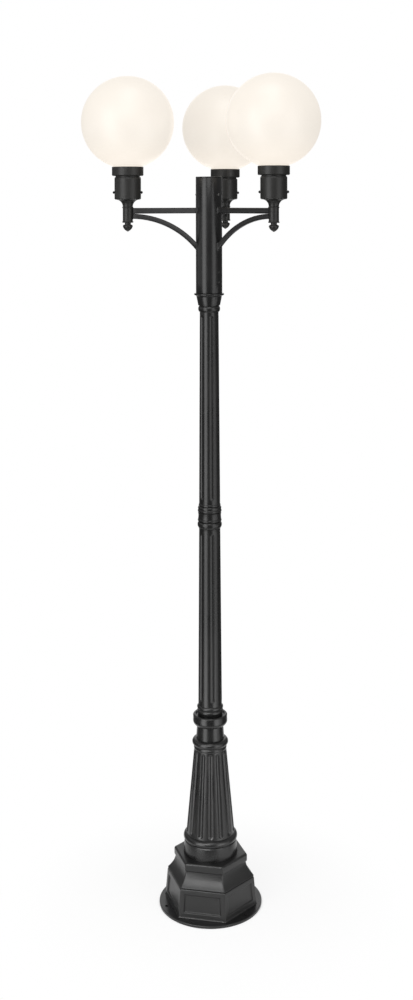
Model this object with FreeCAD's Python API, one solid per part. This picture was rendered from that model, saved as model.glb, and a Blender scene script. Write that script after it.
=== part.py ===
import FreeCAD, Part
import math
import os

# Outdoor post light: a fluted post on a hexagonal pedestal, with three opal globes on a three-arm head.
# Millimetres. The origin is the centre of the underside of the base plate, with +Z up.

# Arms and lamps
ARM_ANGLES = (90.0, 210.0, 330.0)
ARM_REACH = 280.0
ARM_RISE = 277.0
ARM_TALL = 17.0
ARM_WIDE = 14.0
ARM_CORNER = 4.0
ARM_WALL = 2.0
ARM_INSIDE_COLUMN = 8.0

# Base plate
PLATE_RADIUS = 170.5
PLATE_THICK = 8.0
PLATE_ROUND = 2.0
CABLE_ENTRY_RADIUS = 25.0
ANCHOR_CIRCLE_RADIUS = 153.0
ANCHOR_HOLE_RADIUS = 5.5

# Hexagonal pedestal, measured to its corners
FLAT_ANGLE = 30.0
FLAT_SHARE = math.cos(math.radians(FLAT_ANGLE))
PEDESTAL_FOOT_RADIUS = 155.7
PEDESTAL_TOP_RADIUS = 147.5
PEDESTAL_HEIGHT = 88.0
PEDESTAL_WALL = 9.0
PEDESTAL_LEDGE_THICK = 8.0
PEDESTAL_LEDGE_WIDE = 26.5
CORNER_BLUNT = 2.0
SEAM_CHAMFER = 1.2
PANEL_BORDER = 14.5
PANEL_DEPTH = 3.0
PANEL_BEVEL = 3.5

# Pedestal cap: a rebate at the seam, a cove, and a slab that stands out over it
CAP_REBATE_TALL = 2.0
CAP_REBATE_DEEP = 2.5
CAP_COVE_HEIGHT = 44.5
CAP_COVE_REACH = 6.0
CAP_COVE_DROP = 16.0
CAP_COVE_BOW = -0.09
CAP_OVERHANG = 4.0
CAP_OVERHANG_HEIGHT = 3.0
CAP_SLAB_RADIUS = 123.5
CAP_SLAB_HEIGHT = 27.5
CAP_SLAB_ROUND = 5.0
CAP_WALL = 12.0
CAP_TOP_THICK = 8.0
CAP_BORE = 40.0

# Fluted cone with its drum, foot torus and top ring
DRUM_FOOT_RADIUS = 90.0
DRUM_TOP_RADIUS = 86.5
DRUM_HEIGHT = 41.0
DRUM_FLOOR_THICK = 8.0
TORUS_RADIUS = 89.5
TORUS_ROD = 12.0
CONE_FOOT_RADIUS = 80.0
CONE_TOP_RADIUS = 53.7
CONE_HEIGHT = 278.0
CONE_WALL = 7.5
CONE_BEAD_RADIUS = 56.5
CONE_BEAD_HEIGHT = 10.0
RING_RADIUS = 60.0
RING_ROD = 12.0
CONE_FLUTES = 14
CONE_FLUTE_TURN = 0.0
CONE_FLUTE_WIDE_FOOT = 17.0
CONE_FLUTE_WIDE_TOP = 14.0
CONE_FLUTE_DEPTH = 4.0
CONE_FLUTE_MARGIN = 4.0

# Open cup that the shaft stands in
CUP_NECK_FOOT_RADIUS = 46.8
CUP_NECK_TOP_RADIUS = 44.0
CUP_NECK_HEIGHT = 43.0
CUP_BOWL_HEIGHT = 20.0
CUP_RIM_RADIUS = 57.0
CUP_RIM_HEIGHT = 18.0
CUP_WALL = 4.5
CUP_FLOOR_DROP = 12.0
CUP_SPIGOT_RADIUS = 34.0
CUP_SPIGOT_LENGTH = 40.0

# Fluted shafts
SHAFT_FLUTES = 6
SHAFT_FLUTE_TURN = -5.0
SHAFT_FLUTE_WIDE = 14.0
SHAFT_FLUTE_DEPTH = 3.0
SHAFT_FLUTE_FOOT_MARGIN = 16.0
SHAFT_FLUTE_TOP_MARGIN = 11.0
LOWER_FOOT_RADIUS = 39.5
LOWER_TOP_RADIUS = 35.5
LOWER_LENGTH = 585.0
LOWER_BORE = 28.0
FOOT_STEM_RADIUS = 40.5
FOOT_STEM_HEIGHT = 15.0
FOOT_RING_RADIUS = 43.5
FOOT_RING_HEIGHT = 13.5
UPPER_FOOT_RADIUS = 35.2
UPPER_TOP_RADIUS = 31.5
UPPER_LENGTH = 640.0
UPPER_BORE = 25.0
TOP_RING_RADIUS = 36.8
TOP_RING_HEIGHT = 20.0
TOP_RING_CREST = 12.0
SPIGOT_LENGTH = 40.0
CABLE_WAY_RADIUS = 20.0

# Turned coupling between the shafts, from its lowest bead up
COUPLING_SEAT_HEIGHT = 4.0
COUPLING_BEAD_RADII = (41.3, 40.2)
COUPLING_BEAD_HEIGHTS = (22.0, 10.0)
COUPLING_GROOVE_RADIUS = 38.2
COUPLING_WAIST_RADIUS = 38.0
COUPLING_WAIST_HEIGHT = 19.0
COUPLING_TOP_BEAD_RADII = (40.9, 39.2)
COUPLING_TOP_BEAD_HEIGHTS = (13.0, 15.0)

# Head socket and head column
SOCKET_FOOT_RADIUS = 36.5
SOCKET_FOOT_HEIGHT = 2.0
SOCKET_CONE_RADIUS = 42.0
SOCKET_CONE_HEIGHT = 27.0
SOCKET_COVE_HEIGHT = 8.0
SOCKET_LIP_RADIUS = 50.0
SOCKET_LIP_THICK = 6.0
TENON_LENGTH = 85.0
TENON_WALL = 6.0
COLUMN_RADIUS = 44.2
COLUMN_WALL = 4.2
COLUMN_HEIGHT = 386.0
COLUMN_CAP_THICK = 4.0
COLUMN_CAP_ROUND = 1.5
COLUMN_PLUG_LENGTH = 65.0
COLUMN_PLUG_WALL = 5.0
SET_SCREW_RISES = (38.0, 71.0)
SET_SCREW_RADIUS = 3.0
CAP_SCREW_DROP = 56.0
CAP_SCREW_RADIUS = 2.5
CAP_SCREW_HEAD_RADIUS = 4.5
CAP_SCREW_HEAD_HEIGHT = 2.5
CAP_SCREW_LENGTH = 8.5

# Curved braces
BRACE_RADIUS = 300.0
BRACE_TALL = 15.0
BRACE_WIDE = 12.0
BRACE_CORNER = 4.0
BRACE_DROP = 18.0
BRACE_INSIDE_HUB = 6.0

# Lamp stem: finial, hub and bell on a threaded nipple
HUB_RADIUS = 16.6
HUB_BORE = 9.0
HUB_BELOW_ARM = 39.0
HUB_ABOVE_ARM = 13.5
HUB_BEAD_RADIUS = 19.8
HUB_BEAD_HEIGHT = 4.2
HUB_WIRE_HOLE = 3.0
FINIAL_NECK_RADIUS = 10.0
FINIAL_NECK_HEIGHT = 6.0
FINIAL_RADIUS = 16.4
FINIAL_SHOULDER = 5.0
FINIAL_TAPER = 18.0
FINIAL_TIP_RADIUS = 3.0
BELL_TOP_RADIUS = 41.0
BELL_HEIGHT = 25.0
BELL_FOOT_HEIGHT = 2.0
BELL_RIM = 1.5
NIPPLE_RADIUS = 5.0
NIPPLE_BORE = 3.5
NIPPLE_IN_FINIAL = 12.0
NIPPLE_IN_HOLDER = 10.0
NIPPLE_SLOT_TALL = 24.0
LOCKNUT_RADIUS = 9.0
LOCKNUT_THICK = 4.0

# Fitter cup, collar, neck tube, gasket and globe
FITTER_RADIUS = 43.4
FITTER_TOP_RADIUS = 42.2
FITTER_HEIGHT = 72.0
FITTER_WALL = 3.0
FITTER_FLOOR = 4.0
FITTER_CHAMFER = 2.4
FITTER_SHOULDER = 9.0
COLLAR_LIFT = 4.0
COLLAR_RADIUS = 51.7
COLLAR_HEIGHT = 30.0
COLLAR_FLOOR = 4.0
COLLAR_ROUND = 2.0
NECK_TUBE_WALL = 4.0
GASKET_THICK = 2.0
GLOBE_RADIUS = 152.4
GLOBE_WALL = 3.0
GLOBE_NECK_RADIUS = 46.0

# Thumbscrews in the fitter cup
THUMB_ANGLE = 12.0
THUMB_RISE = 22.0
THUMB_SHANK_RADIUS = 2.0
THUMB_HEAD_RADIUS = 4.8
THUMB_HEAD_SKIRT = 1.2
THUMB_HEAD_DOME = 3.2
THUMB_HEAD_STANDOFF = 0.5

# Lampholder, screw shell, bulb and wiring
HOLDER_RADIUS = 19.0
HOLDER_HEIGHT = 42.0
HOLDER_FLOOR = 15.0
SHELL_RADIUS = 14.2
SHELL_WALL = 0.8
SHELL_HEIGHT = 26.0
BULB_CAP_HEIGHT = 24.0
BULB_CONTACT_RADIUS = 5.0
BULB_CONTACT_HEIGHT = 4.0
BULB_RADIUS = 16.0
BULB_SHOULDER_HEIGHT = 6.0
BULB_TUBE_HEIGHT = 66.0
BULB_DOME_HEIGHT = 14.0
LEAD_RADIUS = 1.6
LEAD_BEND = 8.0
CONNECTOR_RADIUS = 5.5
CONNECTOR_TIP_RADIUS = 3.5
CONNECTOR_LENGTH = 18.0
CONNECTOR_FROM_AXIS = 8.0

# Bolts of the castings and screws of the base plate
BOLT_ANGLES = (30.0, 150.0, 270.0)
BOLT_RADIUS = 4.0
BOLT_LENGTH = 18.0
BOLT_HEAD_RADIUS = 7.5
BOLT_HEAD_HEIGHT = 5.3
PLATE_SCREW_HEAD_RADIUS = 8.0
PLATE_SCREW_LENGTH = 22.0
PLATE_SCREW_SINK = 0.5
BOSS_RADIUS = 13.0
BOSS_HEIGHT = 26.0
BOSS_IN_WALL = 4.0

# Clearances, and how far a cut runs past a face
FIT = 0.05
SEAM_GAP = 0.1
FREE_GAP = 0.4
TIP_GAP = 0.3
CUT_PAST = 1.0

# Levels, from the floor up
PEDESTAL_Z = PLATE_THICK
CAP_Z = PEDESTAL_Z + PEDESTAL_HEIGHT
COVE_TOP_Z = CAP_Z + CAP_COVE_HEIGHT
SLAB_Z = COVE_TOP_Z + CAP_OVERHANG_HEIGHT
DRUM_Z = SLAB_Z + CAP_SLAB_HEIGHT
CONE_Z = DRUM_Z + DRUM_HEIGHT + 2 * TORUS_ROD
BEAD_Z = CONE_Z + CONE_HEIGHT
CUP_Z = BEAD_Z + CONE_BEAD_HEIGHT + 2 * RING_ROD
CUP_RIM_Z = CUP_Z + CUP_NECK_HEIGHT + CUP_BOWL_HEIGHT + CUP_RIM_HEIGHT
SHAFT_Z = CUP_RIM_Z - CUP_FLOOR_DROP
LOWER_Z = SHAFT_Z + FOOT_STEM_HEIGHT + 2 * FOOT_RING_HEIGHT
COUPLING_Z = LOWER_Z + LOWER_LENGTH
COUPLING_HEIGHT = (
    2 * COUPLING_SEAT_HEIGHT
    + sum(COUPLING_BEAD_HEIGHTS)
    + COUPLING_WAIST_HEIGHT
    + sum(COUPLING_TOP_BEAD_HEIGHTS)
)
UPPER_Z = COUPLING_Z + COUPLING_HEIGHT
TOP_RING_Z = UPPER_Z + UPPER_LENGTH
SOCKET_Z = TOP_RING_Z + TOP_RING_HEIGHT
SOCKET_COVE_Z = SOCKET_Z + SOCKET_FOOT_HEIGHT + SOCKET_CONE_HEIGHT
COLUMN_Z = SOCKET_COVE_Z + SOCKET_COVE_HEIGHT + SOCKET_LIP_THICK
COLUMN_TOP_Z = COLUMN_Z + COLUMN_HEIGHT
ARM_Z = COLUMN_Z + ARM_RISE
LEAD_Z = ARM_Z - ARM_TALL / 2 + ARM_WALL + SEAM_GAP + LEAD_RADIUS
HUB_Z = ARM_Z - HUB_BELOW_ARM
BELL_Z = ARM_Z + HUB_ABOVE_ARM
FITTER_Z = BELL_Z + BELL_HEIGHT
FITTER_TOP_Z = FITTER_Z + FITTER_HEIGHT
HOLDER_Z = FITTER_Z + FITTER_FLOOR + LOCKNUT_THICK
SHELL_Z = HOLDER_Z + HOLDER_FLOOR
COLLAR_Z = FITTER_TOP_Z + COLLAR_LIFT
COLLAR_TOP_Z = COLLAR_Z + COLLAR_HEIGHT
GLOBE_FOOT_Z = COLLAR_Z + COLLAR_FLOOR + GASKET_THICK
GLOBE_Z = COLLAR_TOP_Z + TIP_GAP + math.sqrt(GLOBE_RADIUS ** 2 - GLOBE_NECK_RADIUS ** 2)

# Radii that follow from the fits
PEDESTAL_TOP_ROOM = PEDESTAL_TOP_RADIUS * FLAT_SHARE - PEDESTAL_WALL
PEDESTAL_LEDGE_BORE = PEDESTAL_TOP_ROOM - PEDESTAL_LEDGE_WIDE
CAP_ROOM_RADIUS = (CAP_SLAB_RADIUS - CAP_OVERHANG) * FLAT_SHARE - CAP_WALL
CAP_BOLT_CIRCLE_RADIUS = PEDESTAL_TOP_ROOM - PEDESTAL_LEDGE_WIDE / 2
DRUM_BOLT_CIRCLE_RADIUS = (CAP_BORE + CONE_FOOT_RADIUS - CONE_WALL) / 2
PLATE_SCREW_CIRCLE_RADIUS = PEDESTAL_FOOT_RADIUS * FLAT_SHARE - PEDESTAL_WALL - BOSS_RADIUS + BOSS_IN_WALL
COLUMN_BORE = COLUMN_RADIUS - COLUMN_WALL
FITTER_BORE = FITTER_RADIUS - FITTER_WALL
NECK_TUBE_RADIUS = FITTER_BORE - FREE_GAP
NECK_TUBE_BORE = NECK_TUBE_RADIUS - NECK_TUBE_WALL
BULB_CAP_RADIUS = SHELL_RADIUS - SHELL_WALL - FREE_GAP

# Shares of the chord by which an arc stands out
QUARTER_ROUND = (math.sqrt(2.0) - 1.0) / 2.0
HALF_ROUND = 0.5
SOFT_ROUND = 0.12

UP = FreeCAD.Vector(0, 0, 1)
ORIGIN = FreeCAD.Vector(0, 0, 0)


class Outline:
    """A closed outline in radius and height, drawn point by point with lines and arcs."""

    def __init__(self, radius, height):
        self.here = FreeCAD.Vector(radius, 0, height)
        self.start = self.here
        self.edges = []

    def line(self, radius, height):
        """A straight edge to the given point."""
        there = FreeCAD.Vector(radius, 0, height)
        self.edges.append(Part.LineSegment(self.here, there).toShape())
        self.here = there
        return self

    def bow(self, radius, height, share):
        """An arc to the given point, standing out to the right of the way by a share of its chord."""
        there = FreeCAD.Vector(radius, 0, height)
        way = there - self.here
        middle = (self.here + there) * 0.5 + FreeCAD.Vector(way.z, 0, -way.x) * share
        self.edges.append(Part.Arc(self.here, middle, there).toShape())
        self.here = there
        return self

    def through(self, middle_radius, middle_height, radius, height):
        """An arc through one point to another."""
        middle = FreeCAD.Vector(middle_radius, 0, middle_height)
        there = FreeCAD.Vector(radius, 0, height)
        self.edges.append(Part.Arc(self.here, middle, there).toShape())
        self.here = there
        return self

    def dome(self, radius, height):
        """An arc to the given point with its centre on the axis, where one of its ends lies."""
        there = FreeCAD.Vector(radius, 0, height)
        top, foot = (self.here, there) if self.here.x == 0 else (there, self.here)
        drop = foot.z - top.z
        ball = (foot.x ** 2 + drop ** 2) / (2 * abs(drop))
        turn = math.atan2(foot.x, ball - abs(drop)) / 2
        side = math.copysign(ball, drop)
        middle = FreeCAD.Vector(ball * math.sin(turn), 0, top.z + side - side * math.cos(turn))
        self.edges.append(Part.Arc(self.here, middle, there).toShape())
        self.here = there
        return self

    def face(self):
        """The face inside the outline, closed with a straight edge."""
        if not self.here.isEqual(self.start, 1e-6):
            self.line(self.start.x, self.start.z)
        return Part.Face(Part.Wire(self.edges))

    def turned(self):
        """The solid that the outline makes when it turns about the Z axis."""
        solid = self.face().revolve(ORIGIN, UP, 360.0)
        return Part.makeSolid(solid.Shells[0])

    def hexagonal(self, reach):
        """The six-sided moulding whose flats have this outline, mitred at the corners."""
        half = self.face()
        half.translate(FreeCAD.Vector(0, -reach, 0))
        half = half.extrude(FreeCAD.Vector(0, 2 * reach, 0))
        ridge = half.fuse(rotated(half, 180.0)).removeSplitter()
        ridges = [rotated(ridge, FLAT_ANGLE * (1 + 2 * step)) for step in range(3)]
        return ridges[0].common(ridges[1]).common(ridges[2])


def rotated(shape, degrees):
    """A copy of a shape turned about the Z axis."""
    copy = shape.copy()
    copy.rotate(ORIGIN, UP, degrees)
    return copy


def around(shape, angles):
    """Copies of a shape at several angles about the Z axis."""
    return [rotated(shape, angle) for angle in angles]


def evenly(count, first=0.0):
    """Angles that divide a full turn evenly."""
    return [first + 360.0 * step / count for step in range(count)]


def out_to_lamp(shape, angle):
    """A piece drawn on the post axis, carried out to the lamp axis of the arm at an angle."""
    copy = shape.copy()
    copy.translate(FreeCAD.Vector(ARM_REACH, 0, 0))
    return rotated(copy, angle)


def upright(radius, length, x, z):
    """An upright cylinder that starts at a height, at a distance from the post axis."""
    return Part.makeCylinder(radius, length, FreeCAD.Vector(x, 0, z), UP)


def spoke(radius, start, end, z):
    """A level cylinder along +X between two distances from the Z axis."""
    return Part.makeCylinder(radius, end - start, FreeCAD.Vector(start, 0, z), FreeCAD.Vector(1, 0, 0))


def ring(inner, outer, low, high):
    """A plain ring with square edges."""
    return Outline(inner, low).line(outer, low).line(outer, high).line(inner, high).turned()


def rounded_section(wide, tall, corner, x, z):
    """A rectangular face across X with rounded corners."""
    centres = []
    for side, level in ((1, 1), (-1, 1), (-1, -1), (1, -1)):
        centres.append(FreeCAD.Vector(x, side * (wide / 2 - corner), z + level * (tall / 2 - corner)))
    edges = []
    last = None
    for step, centre in enumerate(centres):
        points = []
        for share in (0.0, 0.5, 1.0):
            turn = math.radians(90.0 * (step + share))
            points.append(centre + FreeCAD.Vector(0, math.cos(turn), math.sin(turn)) * corner)
        if last is not None:
            edges.append(Part.LineSegment(last, points[0]).toShape())
        edges.append(Part.Arc(*points).toShape())
        last = points[2]
    first = centres[0] + FreeCAD.Vector(0, corner, 0)
    edges.append(Part.LineSegment(last, first).toShape())
    return Part.Face(Part.Wire(edges))


def flute(low, high, wide_low, wide_high, depth):
    """A tapered bar with ball ends, sunk by a depth into the surface line from low to high."""
    balls = []
    for (radius, height), wide in ((low, wide_low), (high, wide_high)):
        half = wide / 2
        below_chord = depth - (radius - math.sqrt(radius ** 2 - half ** 2))
        ball = (half ** 2 + below_chord ** 2) / (2 * below_chord)
        balls.append((FreeCAD.Vector(radius - depth + ball, 0, height), ball))
    (foot, foot_ball), (top, top_ball) = balls
    along = top - foot
    length = along.Length
    along.normalize()
    across = FreeCAD.Vector(along.z, 0, -along.x)
    lean = math.asin((foot_ball - top_ball) / length)

    def rim(centre, ball, turn):
        return centre + along * (ball * math.sin(turn)) + across * (ball * math.cos(turn))

    points = (
        rim(foot, foot_ball, -math.pi / 2),
        rim(foot, foot_ball, (lean - math.pi / 2) / 2),
        rim(foot, foot_ball, lean),
        rim(top, top_ball, lean),
        rim(top, top_ball, (lean + math.pi / 2) / 2),
        rim(top, top_ball, math.pi / 2),
    )
    edges = [
        Part.Arc(*points[0:3]).toShape(),
        Part.LineSegment(points[2], points[3]).toShape(),
        Part.Arc(*points[3:6]).toShape(),
        Part.LineSegment(points[5], points[0]).toShape(),
    ]
    bar = Part.Face(Part.Wire(edges)).revolve(foot, along, 360.0)
    return Part.makeSolid(bar.Shells[0])


def hexagon(corner_radius, z):
    """A hexagonal wire with corners on the X axis."""
    corners = []
    for angle in evenly(6) + [0.0]:
        turn = math.radians(angle)
        corners.append(FreeCAD.Vector(corner_radius * math.cos(turn), corner_radius * math.sin(turn), z))
    return Part.makePolygon(corners)


def hex_frustum(foot_radius, top_radius, low, high):
    """A tapered hexagonal block."""
    return Part.makeLoft([hexagon(foot_radius, low), hexagon(top_radius, high)], True, True)


def base_plate():
    """Round plate with anchor holes, a cable entry and countersunk holes for the pedestal's screws."""
    plate = (
        Outline(CABLE_ENTRY_RADIUS, 0)
        .line(PLATE_RADIUS, 0)
        .line(PLATE_RADIUS, PLATE_THICK - PLATE_ROUND)
        .bow(PLATE_RADIUS - PLATE_ROUND, PLATE_THICK, QUARTER_ROUND)
        .line(CABLE_ENTRY_RADIUS, PLATE_THICK)
        .turned()
    )
    anchor = upright(ANCHOR_HOLE_RADIUS, PLATE_THICK, ANCHOR_CIRCLE_RADIUS, 0)
    sink = plate_screw(SEAM_GAP, 0)
    return plate.cut(around(anchor, ARM_ANGLES) + around(sink, BOLT_ANGLES))


def plate_screw(room, foot):
    """A countersunk screw that comes up through the plate, grown by some room."""
    slope = PLATE_SCREW_HEAD_RADIUS - BOLT_RADIUS
    screw = (
        Outline(0, foot)
        .line(PLATE_SCREW_HEAD_RADIUS + room, foot)
        .line(PLATE_SCREW_HEAD_RADIUS + room, PLATE_SCREW_SINK)
        .line(BOLT_RADIUS + room, PLATE_SCREW_SINK + slope)
        .line(BOLT_RADIUS + room, PLATE_SCREW_LENGTH + room)
        .line(0, PLATE_SCREW_LENGTH + room)
        .turned()
    )
    screw.translate(FreeCAD.Vector(PLATE_SCREW_CIRCLE_RADIUS, 0, 0))
    return screw


def plate_screws():
    """The three countersunk screws that hold the plate under the pedestal."""
    return around(plate_screw(0, PLATE_SCREW_SINK / 2), BOLT_ANGLES)


def panel_cutter():
    """The bevelled recess of one pedestal flat, drawn on the flat that faces +X."""
    foot = FreeCAD.Vector(PEDESTAL_FOOT_RADIUS * FLAT_SHARE, 0, PEDESTAL_Z)
    top = FreeCAD.Vector(PEDESTAL_TOP_RADIUS * FLAT_SHARE, 0, CAP_Z)
    slope = top - foot
    rise = slope.Length
    slope.normalize()
    out = FreeCAD.Vector(slope.z, 0, -slope.x)

    def frame(inset, depth):
        low = PANEL_BORDER + inset
        high = rise - PANEL_BORDER - inset
        corners = []
        for level, side in ((low, -1), (low, 1), (high, 1), (high, -1)):
            share = level / rise
            half = (PEDESTAL_FOOT_RADIUS * (1 - share) + PEDESTAL_TOP_RADIUS * share) / 2
            sideways = FreeCAD.Vector(0, side * (half - PANEL_BORDER - inset), 0)
            corners.append(foot + slope * level + sideways - out * depth)
        return Part.makePolygon(corners + corners[:1])

    return Part.makeLoft([frame(-PANEL_BEVEL, -PANEL_DEPTH), frame(PANEL_BEVEL, PANEL_DEPTH)], True, True)


def hex_pedestal():
    """Hollow tapered hexagon with a recessed panel in each flat and a bolting ledge at the top."""
    block = hex_frustum(PEDESTAL_FOOT_RADIUS, PEDESTAL_TOP_RADIUS, PEDESTAL_Z, CAP_Z)
    blunt = (
        Outline(0, PEDESTAL_Z)
        .line(PEDESTAL_FOOT_RADIUS - CORNER_BLUNT, PEDESTAL_Z)
        .line(PEDESTAL_TOP_RADIUS - CORNER_BLUNT, CAP_Z)
        .line(0, CAP_Z)
        .turned()
    )
    shell = block.common(blunt)
    shell = shell.cut(around(panel_cutter(), evenly(6, FLAT_ANGLE)))
    ledge_z = CAP_Z - PEDESTAL_LEDGE_THICK
    corner_wall = PEDESTAL_WALL / FLAT_SHARE
    room = hex_frustum(
        PEDESTAL_FOOT_RADIUS - corner_wall,
        PEDESTAL_TOP_RADIUS - corner_wall,
        PEDESTAL_Z,
        ledge_z,
    )
    boss = upright(BOSS_RADIUS, BOSS_HEIGHT, PLATE_SCREW_CIRCLE_RADIUS, PEDESTAL_Z)
    room = room.cut(around(boss, BOLT_ANGLES))
    mouth = upright(PEDESTAL_LEDGE_BORE, PEDESTAL_LEDGE_THICK, 0, ledge_z)
    bolt_hole = upright(BOLT_RADIUS + SEAM_GAP, PEDESTAL_LEDGE_THICK, CAP_BOLT_CIRCLE_RADIUS, ledge_z)
    screw_hole = plate_screw(SEAM_GAP, 0)
    return shell.cut([room, mouth] + around(bolt_hole, BOLT_ANGLES) + around(screw_hole, BOLT_ANGLES))


def cap_outline(share, blunt):
    """Outside of the pedestal cap: a seam rebate, a cove and a slab that stands out over it."""
    foot = PEDESTAL_TOP_RADIUS * share - blunt
    slab = CAP_SLAB_RADIUS * share - blunt
    neck = slab - CAP_OVERHANG * share
    foot_z = CAP_Z + CAP_REBATE_TALL
    return (
        Outline(0, CAP_Z)
        .line(foot - CAP_REBATE_DEEP, CAP_Z)
        .line(foot - CAP_REBATE_DEEP, foot_z)
        .line(foot, foot_z)
        .line(neck + CAP_COVE_REACH * share, COVE_TOP_Z - CAP_COVE_DROP)
        .bow(neck, COVE_TOP_Z, CAP_COVE_BOW)
        .bow(slab, SLAB_Z, SOFT_ROUND)
        .line(slab, DRUM_Z - CAP_SLAB_ROUND)
        .bow(slab - CAP_SLAB_ROUND, DRUM_Z, QUARTER_ROUND)
        .line(0, DRUM_Z)
    )


def pedestal_cap():
    """Hexagonal cap with a cove under a slab, hollow below, with a cable hole through its top."""
    moulding = cap_outline(FLAT_SHARE, 0).hexagonal(2 * PEDESTAL_TOP_RADIUS)
    cap = moulding.common(cap_outline(1.0, CORNER_BLUNT).turned())
    top_z = DRUM_Z - CAP_TOP_THICK
    room = upright(CAP_ROOM_RADIUS, top_z - CAP_Z, 0, CAP_Z)
    cable_hole = upright(CAP_BORE, CAP_TOP_THICK, 0, top_z)
    blind = BOLT_LENGTH - PEDESTAL_LEDGE_THICK + CUT_PAST
    tapped = upright(BOLT_RADIUS + SEAM_GAP, blind, CAP_BOLT_CIRCLE_RADIUS, CAP_Z)
    through = upright(BOLT_RADIUS + SEAM_GAP, CAP_TOP_THICK, DRUM_BOLT_CIRCLE_RADIUS, top_z)
    return cap.cut([room, cable_hole] + around(tapped, BOLT_ANGLES) + around(through, ARM_ANGLES))


def section_bolt(circle_radius, under_head):
    """A hex-head bolt that points up, with its head below the given height."""
    head = hexagon(BOLT_HEAD_RADIUS, under_head - BOLT_HEAD_HEIGHT)
    head = Part.Face(head).extrude(UP * BOLT_HEAD_HEIGHT)
    bolt = head.fuse(upright(BOLT_RADIUS, BOLT_LENGTH, 0, under_head))
    bolt.translate(FreeCAD.Vector(circle_radius, 0, 0))
    return bolt


def section_bolts():
    """Bolts that join the pedestal to its cap, and the cap to the cone's drum."""
    to_cap = section_bolt(CAP_BOLT_CIRCLE_RADIUS, CAP_Z - PEDESTAL_LEDGE_THICK)
    to_drum = section_bolt(DRUM_BOLT_CIRCLE_RADIUS, DRUM_Z - CAP_TOP_THICK)
    return around(to_cap, BOLT_ANGLES) + around(to_drum, ARM_ANGLES)


def fluted_cone():
    """Hollow casting: drum, torus, fluted cone, bead and ring, bored at the top for the cup."""
    drum_top = DRUM_Z + DRUM_HEIGHT
    ring_z = BEAD_Z + CONE_BEAD_HEIGHT
    floor_z = DRUM_Z + DRUM_FLOOR_THICK
    bore = CUP_SPIGOT_RADIUS + FIT
    seat_z = CUP_Z - CUP_SPIGOT_LENGTH - SEAM_GAP
    body = (
        Outline(CAP_BORE, DRUM_Z)
        .line(DRUM_FOOT_RADIUS, DRUM_Z)
        .line(DRUM_TOP_RADIUS, drum_top)
        .line(TORUS_RADIUS - TORUS_ROD, drum_top)
        .through(TORUS_RADIUS, drum_top + TORUS_ROD, TORUS_RADIUS - TORUS_ROD, CONE_Z)
        .line(CONE_FOOT_RADIUS, CONE_Z)
        .line(CONE_TOP_RADIUS, BEAD_Z)
        .through(CONE_BEAD_RADIUS, BEAD_Z + CONE_BEAD_HEIGHT / 2, CONE_TOP_RADIUS, ring_z)
        .line(RING_RADIUS - RING_ROD, ring_z)
        .through(RING_RADIUS, ring_z + RING_ROD, RING_RADIUS - RING_ROD, CUP_Z)
        .line(bore, CUP_Z)
        .line(bore, seat_z)
        .line(CONE_TOP_RADIUS - CONE_WALL, seat_z)
        .line(CONE_FOOT_RADIUS - CONE_WALL, CONE_Z)
        .line(CONE_FOOT_RADIUS - CONE_WALL, floor_z)
        .line(CAP_BORE, floor_z)
        .turned()
    )
    bolt_hole = upright(BOLT_RADIUS + SEAM_GAP, DRUM_FLOOR_THICK, DRUM_BOLT_CIRCLE_RADIUS, DRUM_Z)
    flutes = around(cone_flute(), evenly(CONE_FLUTES, CONE_FLUTE_TURN))
    return body.cut(flutes + around(bolt_hole, ARM_ANGLES))


def cone_flute():
    """One flute of the cone, inside its margins."""
    slope = (CONE_TOP_RADIUS - CONE_FOOT_RADIUS) / CONE_HEIGHT
    low = CONE_FLUTE_MARGIN + CONE_FLUTE_WIDE_FOOT / 2
    high = CONE_HEIGHT - CONE_FLUTE_MARGIN - CONE_FLUTE_WIDE_TOP / 2
    return flute(
        (CONE_FOOT_RADIUS + slope * low, CONE_Z + low),
        (CONE_FOOT_RADIUS + slope * high, CONE_Z + high),
        CONE_FLUTE_WIDE_FOOT,
        CONE_FLUTE_WIDE_TOP,
        CONE_FLUTE_DEPTH,
    )


def shaft_cup():
    """Necked cup with an open trough, a spigot into the cone and a spigot for the shaft."""
    bowl_z = CUP_Z + CUP_NECK_HEIGHT
    wall_z = bowl_z + CUP_BOWL_HEIGHT
    inside = CUP_RIM_RADIUS - CUP_WALL
    post = LOWER_BORE - FIT
    return (
        Outline(CABLE_WAY_RADIUS, CUP_Z - CUP_SPIGOT_LENGTH)
        .line(CUP_SPIGOT_RADIUS, CUP_Z - CUP_SPIGOT_LENGTH)
        .line(CUP_SPIGOT_RADIUS, CUP_Z)
        .line(CUP_NECK_FOOT_RADIUS, CUP_Z)
        .line(CUP_NECK_TOP_RADIUS, bowl_z)
        .bow(CUP_RIM_RADIUS, wall_z, QUARTER_ROUND)
        .line(CUP_RIM_RADIUS, CUP_RIM_Z - CUP_WALL / 2)
        .bow(inside, CUP_RIM_Z - CUP_WALL / 2, HALF_ROUND)
        .line(inside, SHAFT_Z)
        .line(post, SHAFT_Z)
        .line(post, SHAFT_Z + SPIGOT_LENGTH)
        .line(CABLE_WAY_RADIUS, SHAFT_Z + SPIGOT_LENGTH)
        .turned()
    )


def shaft_flutes(low, high):
    """The flutes of a shaft whose plain surface runs between two points of radius and height."""
    length = high[1] - low[1]
    slope = (high[0] - low[0]) / length
    foot = SHAFT_FLUTE_FOOT_MARGIN + SHAFT_FLUTE_WIDE / 2
    top = SHAFT_FLUTE_TOP_MARGIN + SHAFT_FLUTE_WIDE / 2
    cutter = flute(
        (low[0] + slope * foot, low[1] + foot),
        (high[0] - slope * top, high[1] - top),
        SHAFT_FLUTE_WIDE,
        SHAFT_FLUTE_WIDE,
        SHAFT_FLUTE_DEPTH,
    )
    return around(cutter, evenly(SHAFT_FLUTES, SHAFT_FLUTE_TURN))


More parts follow.
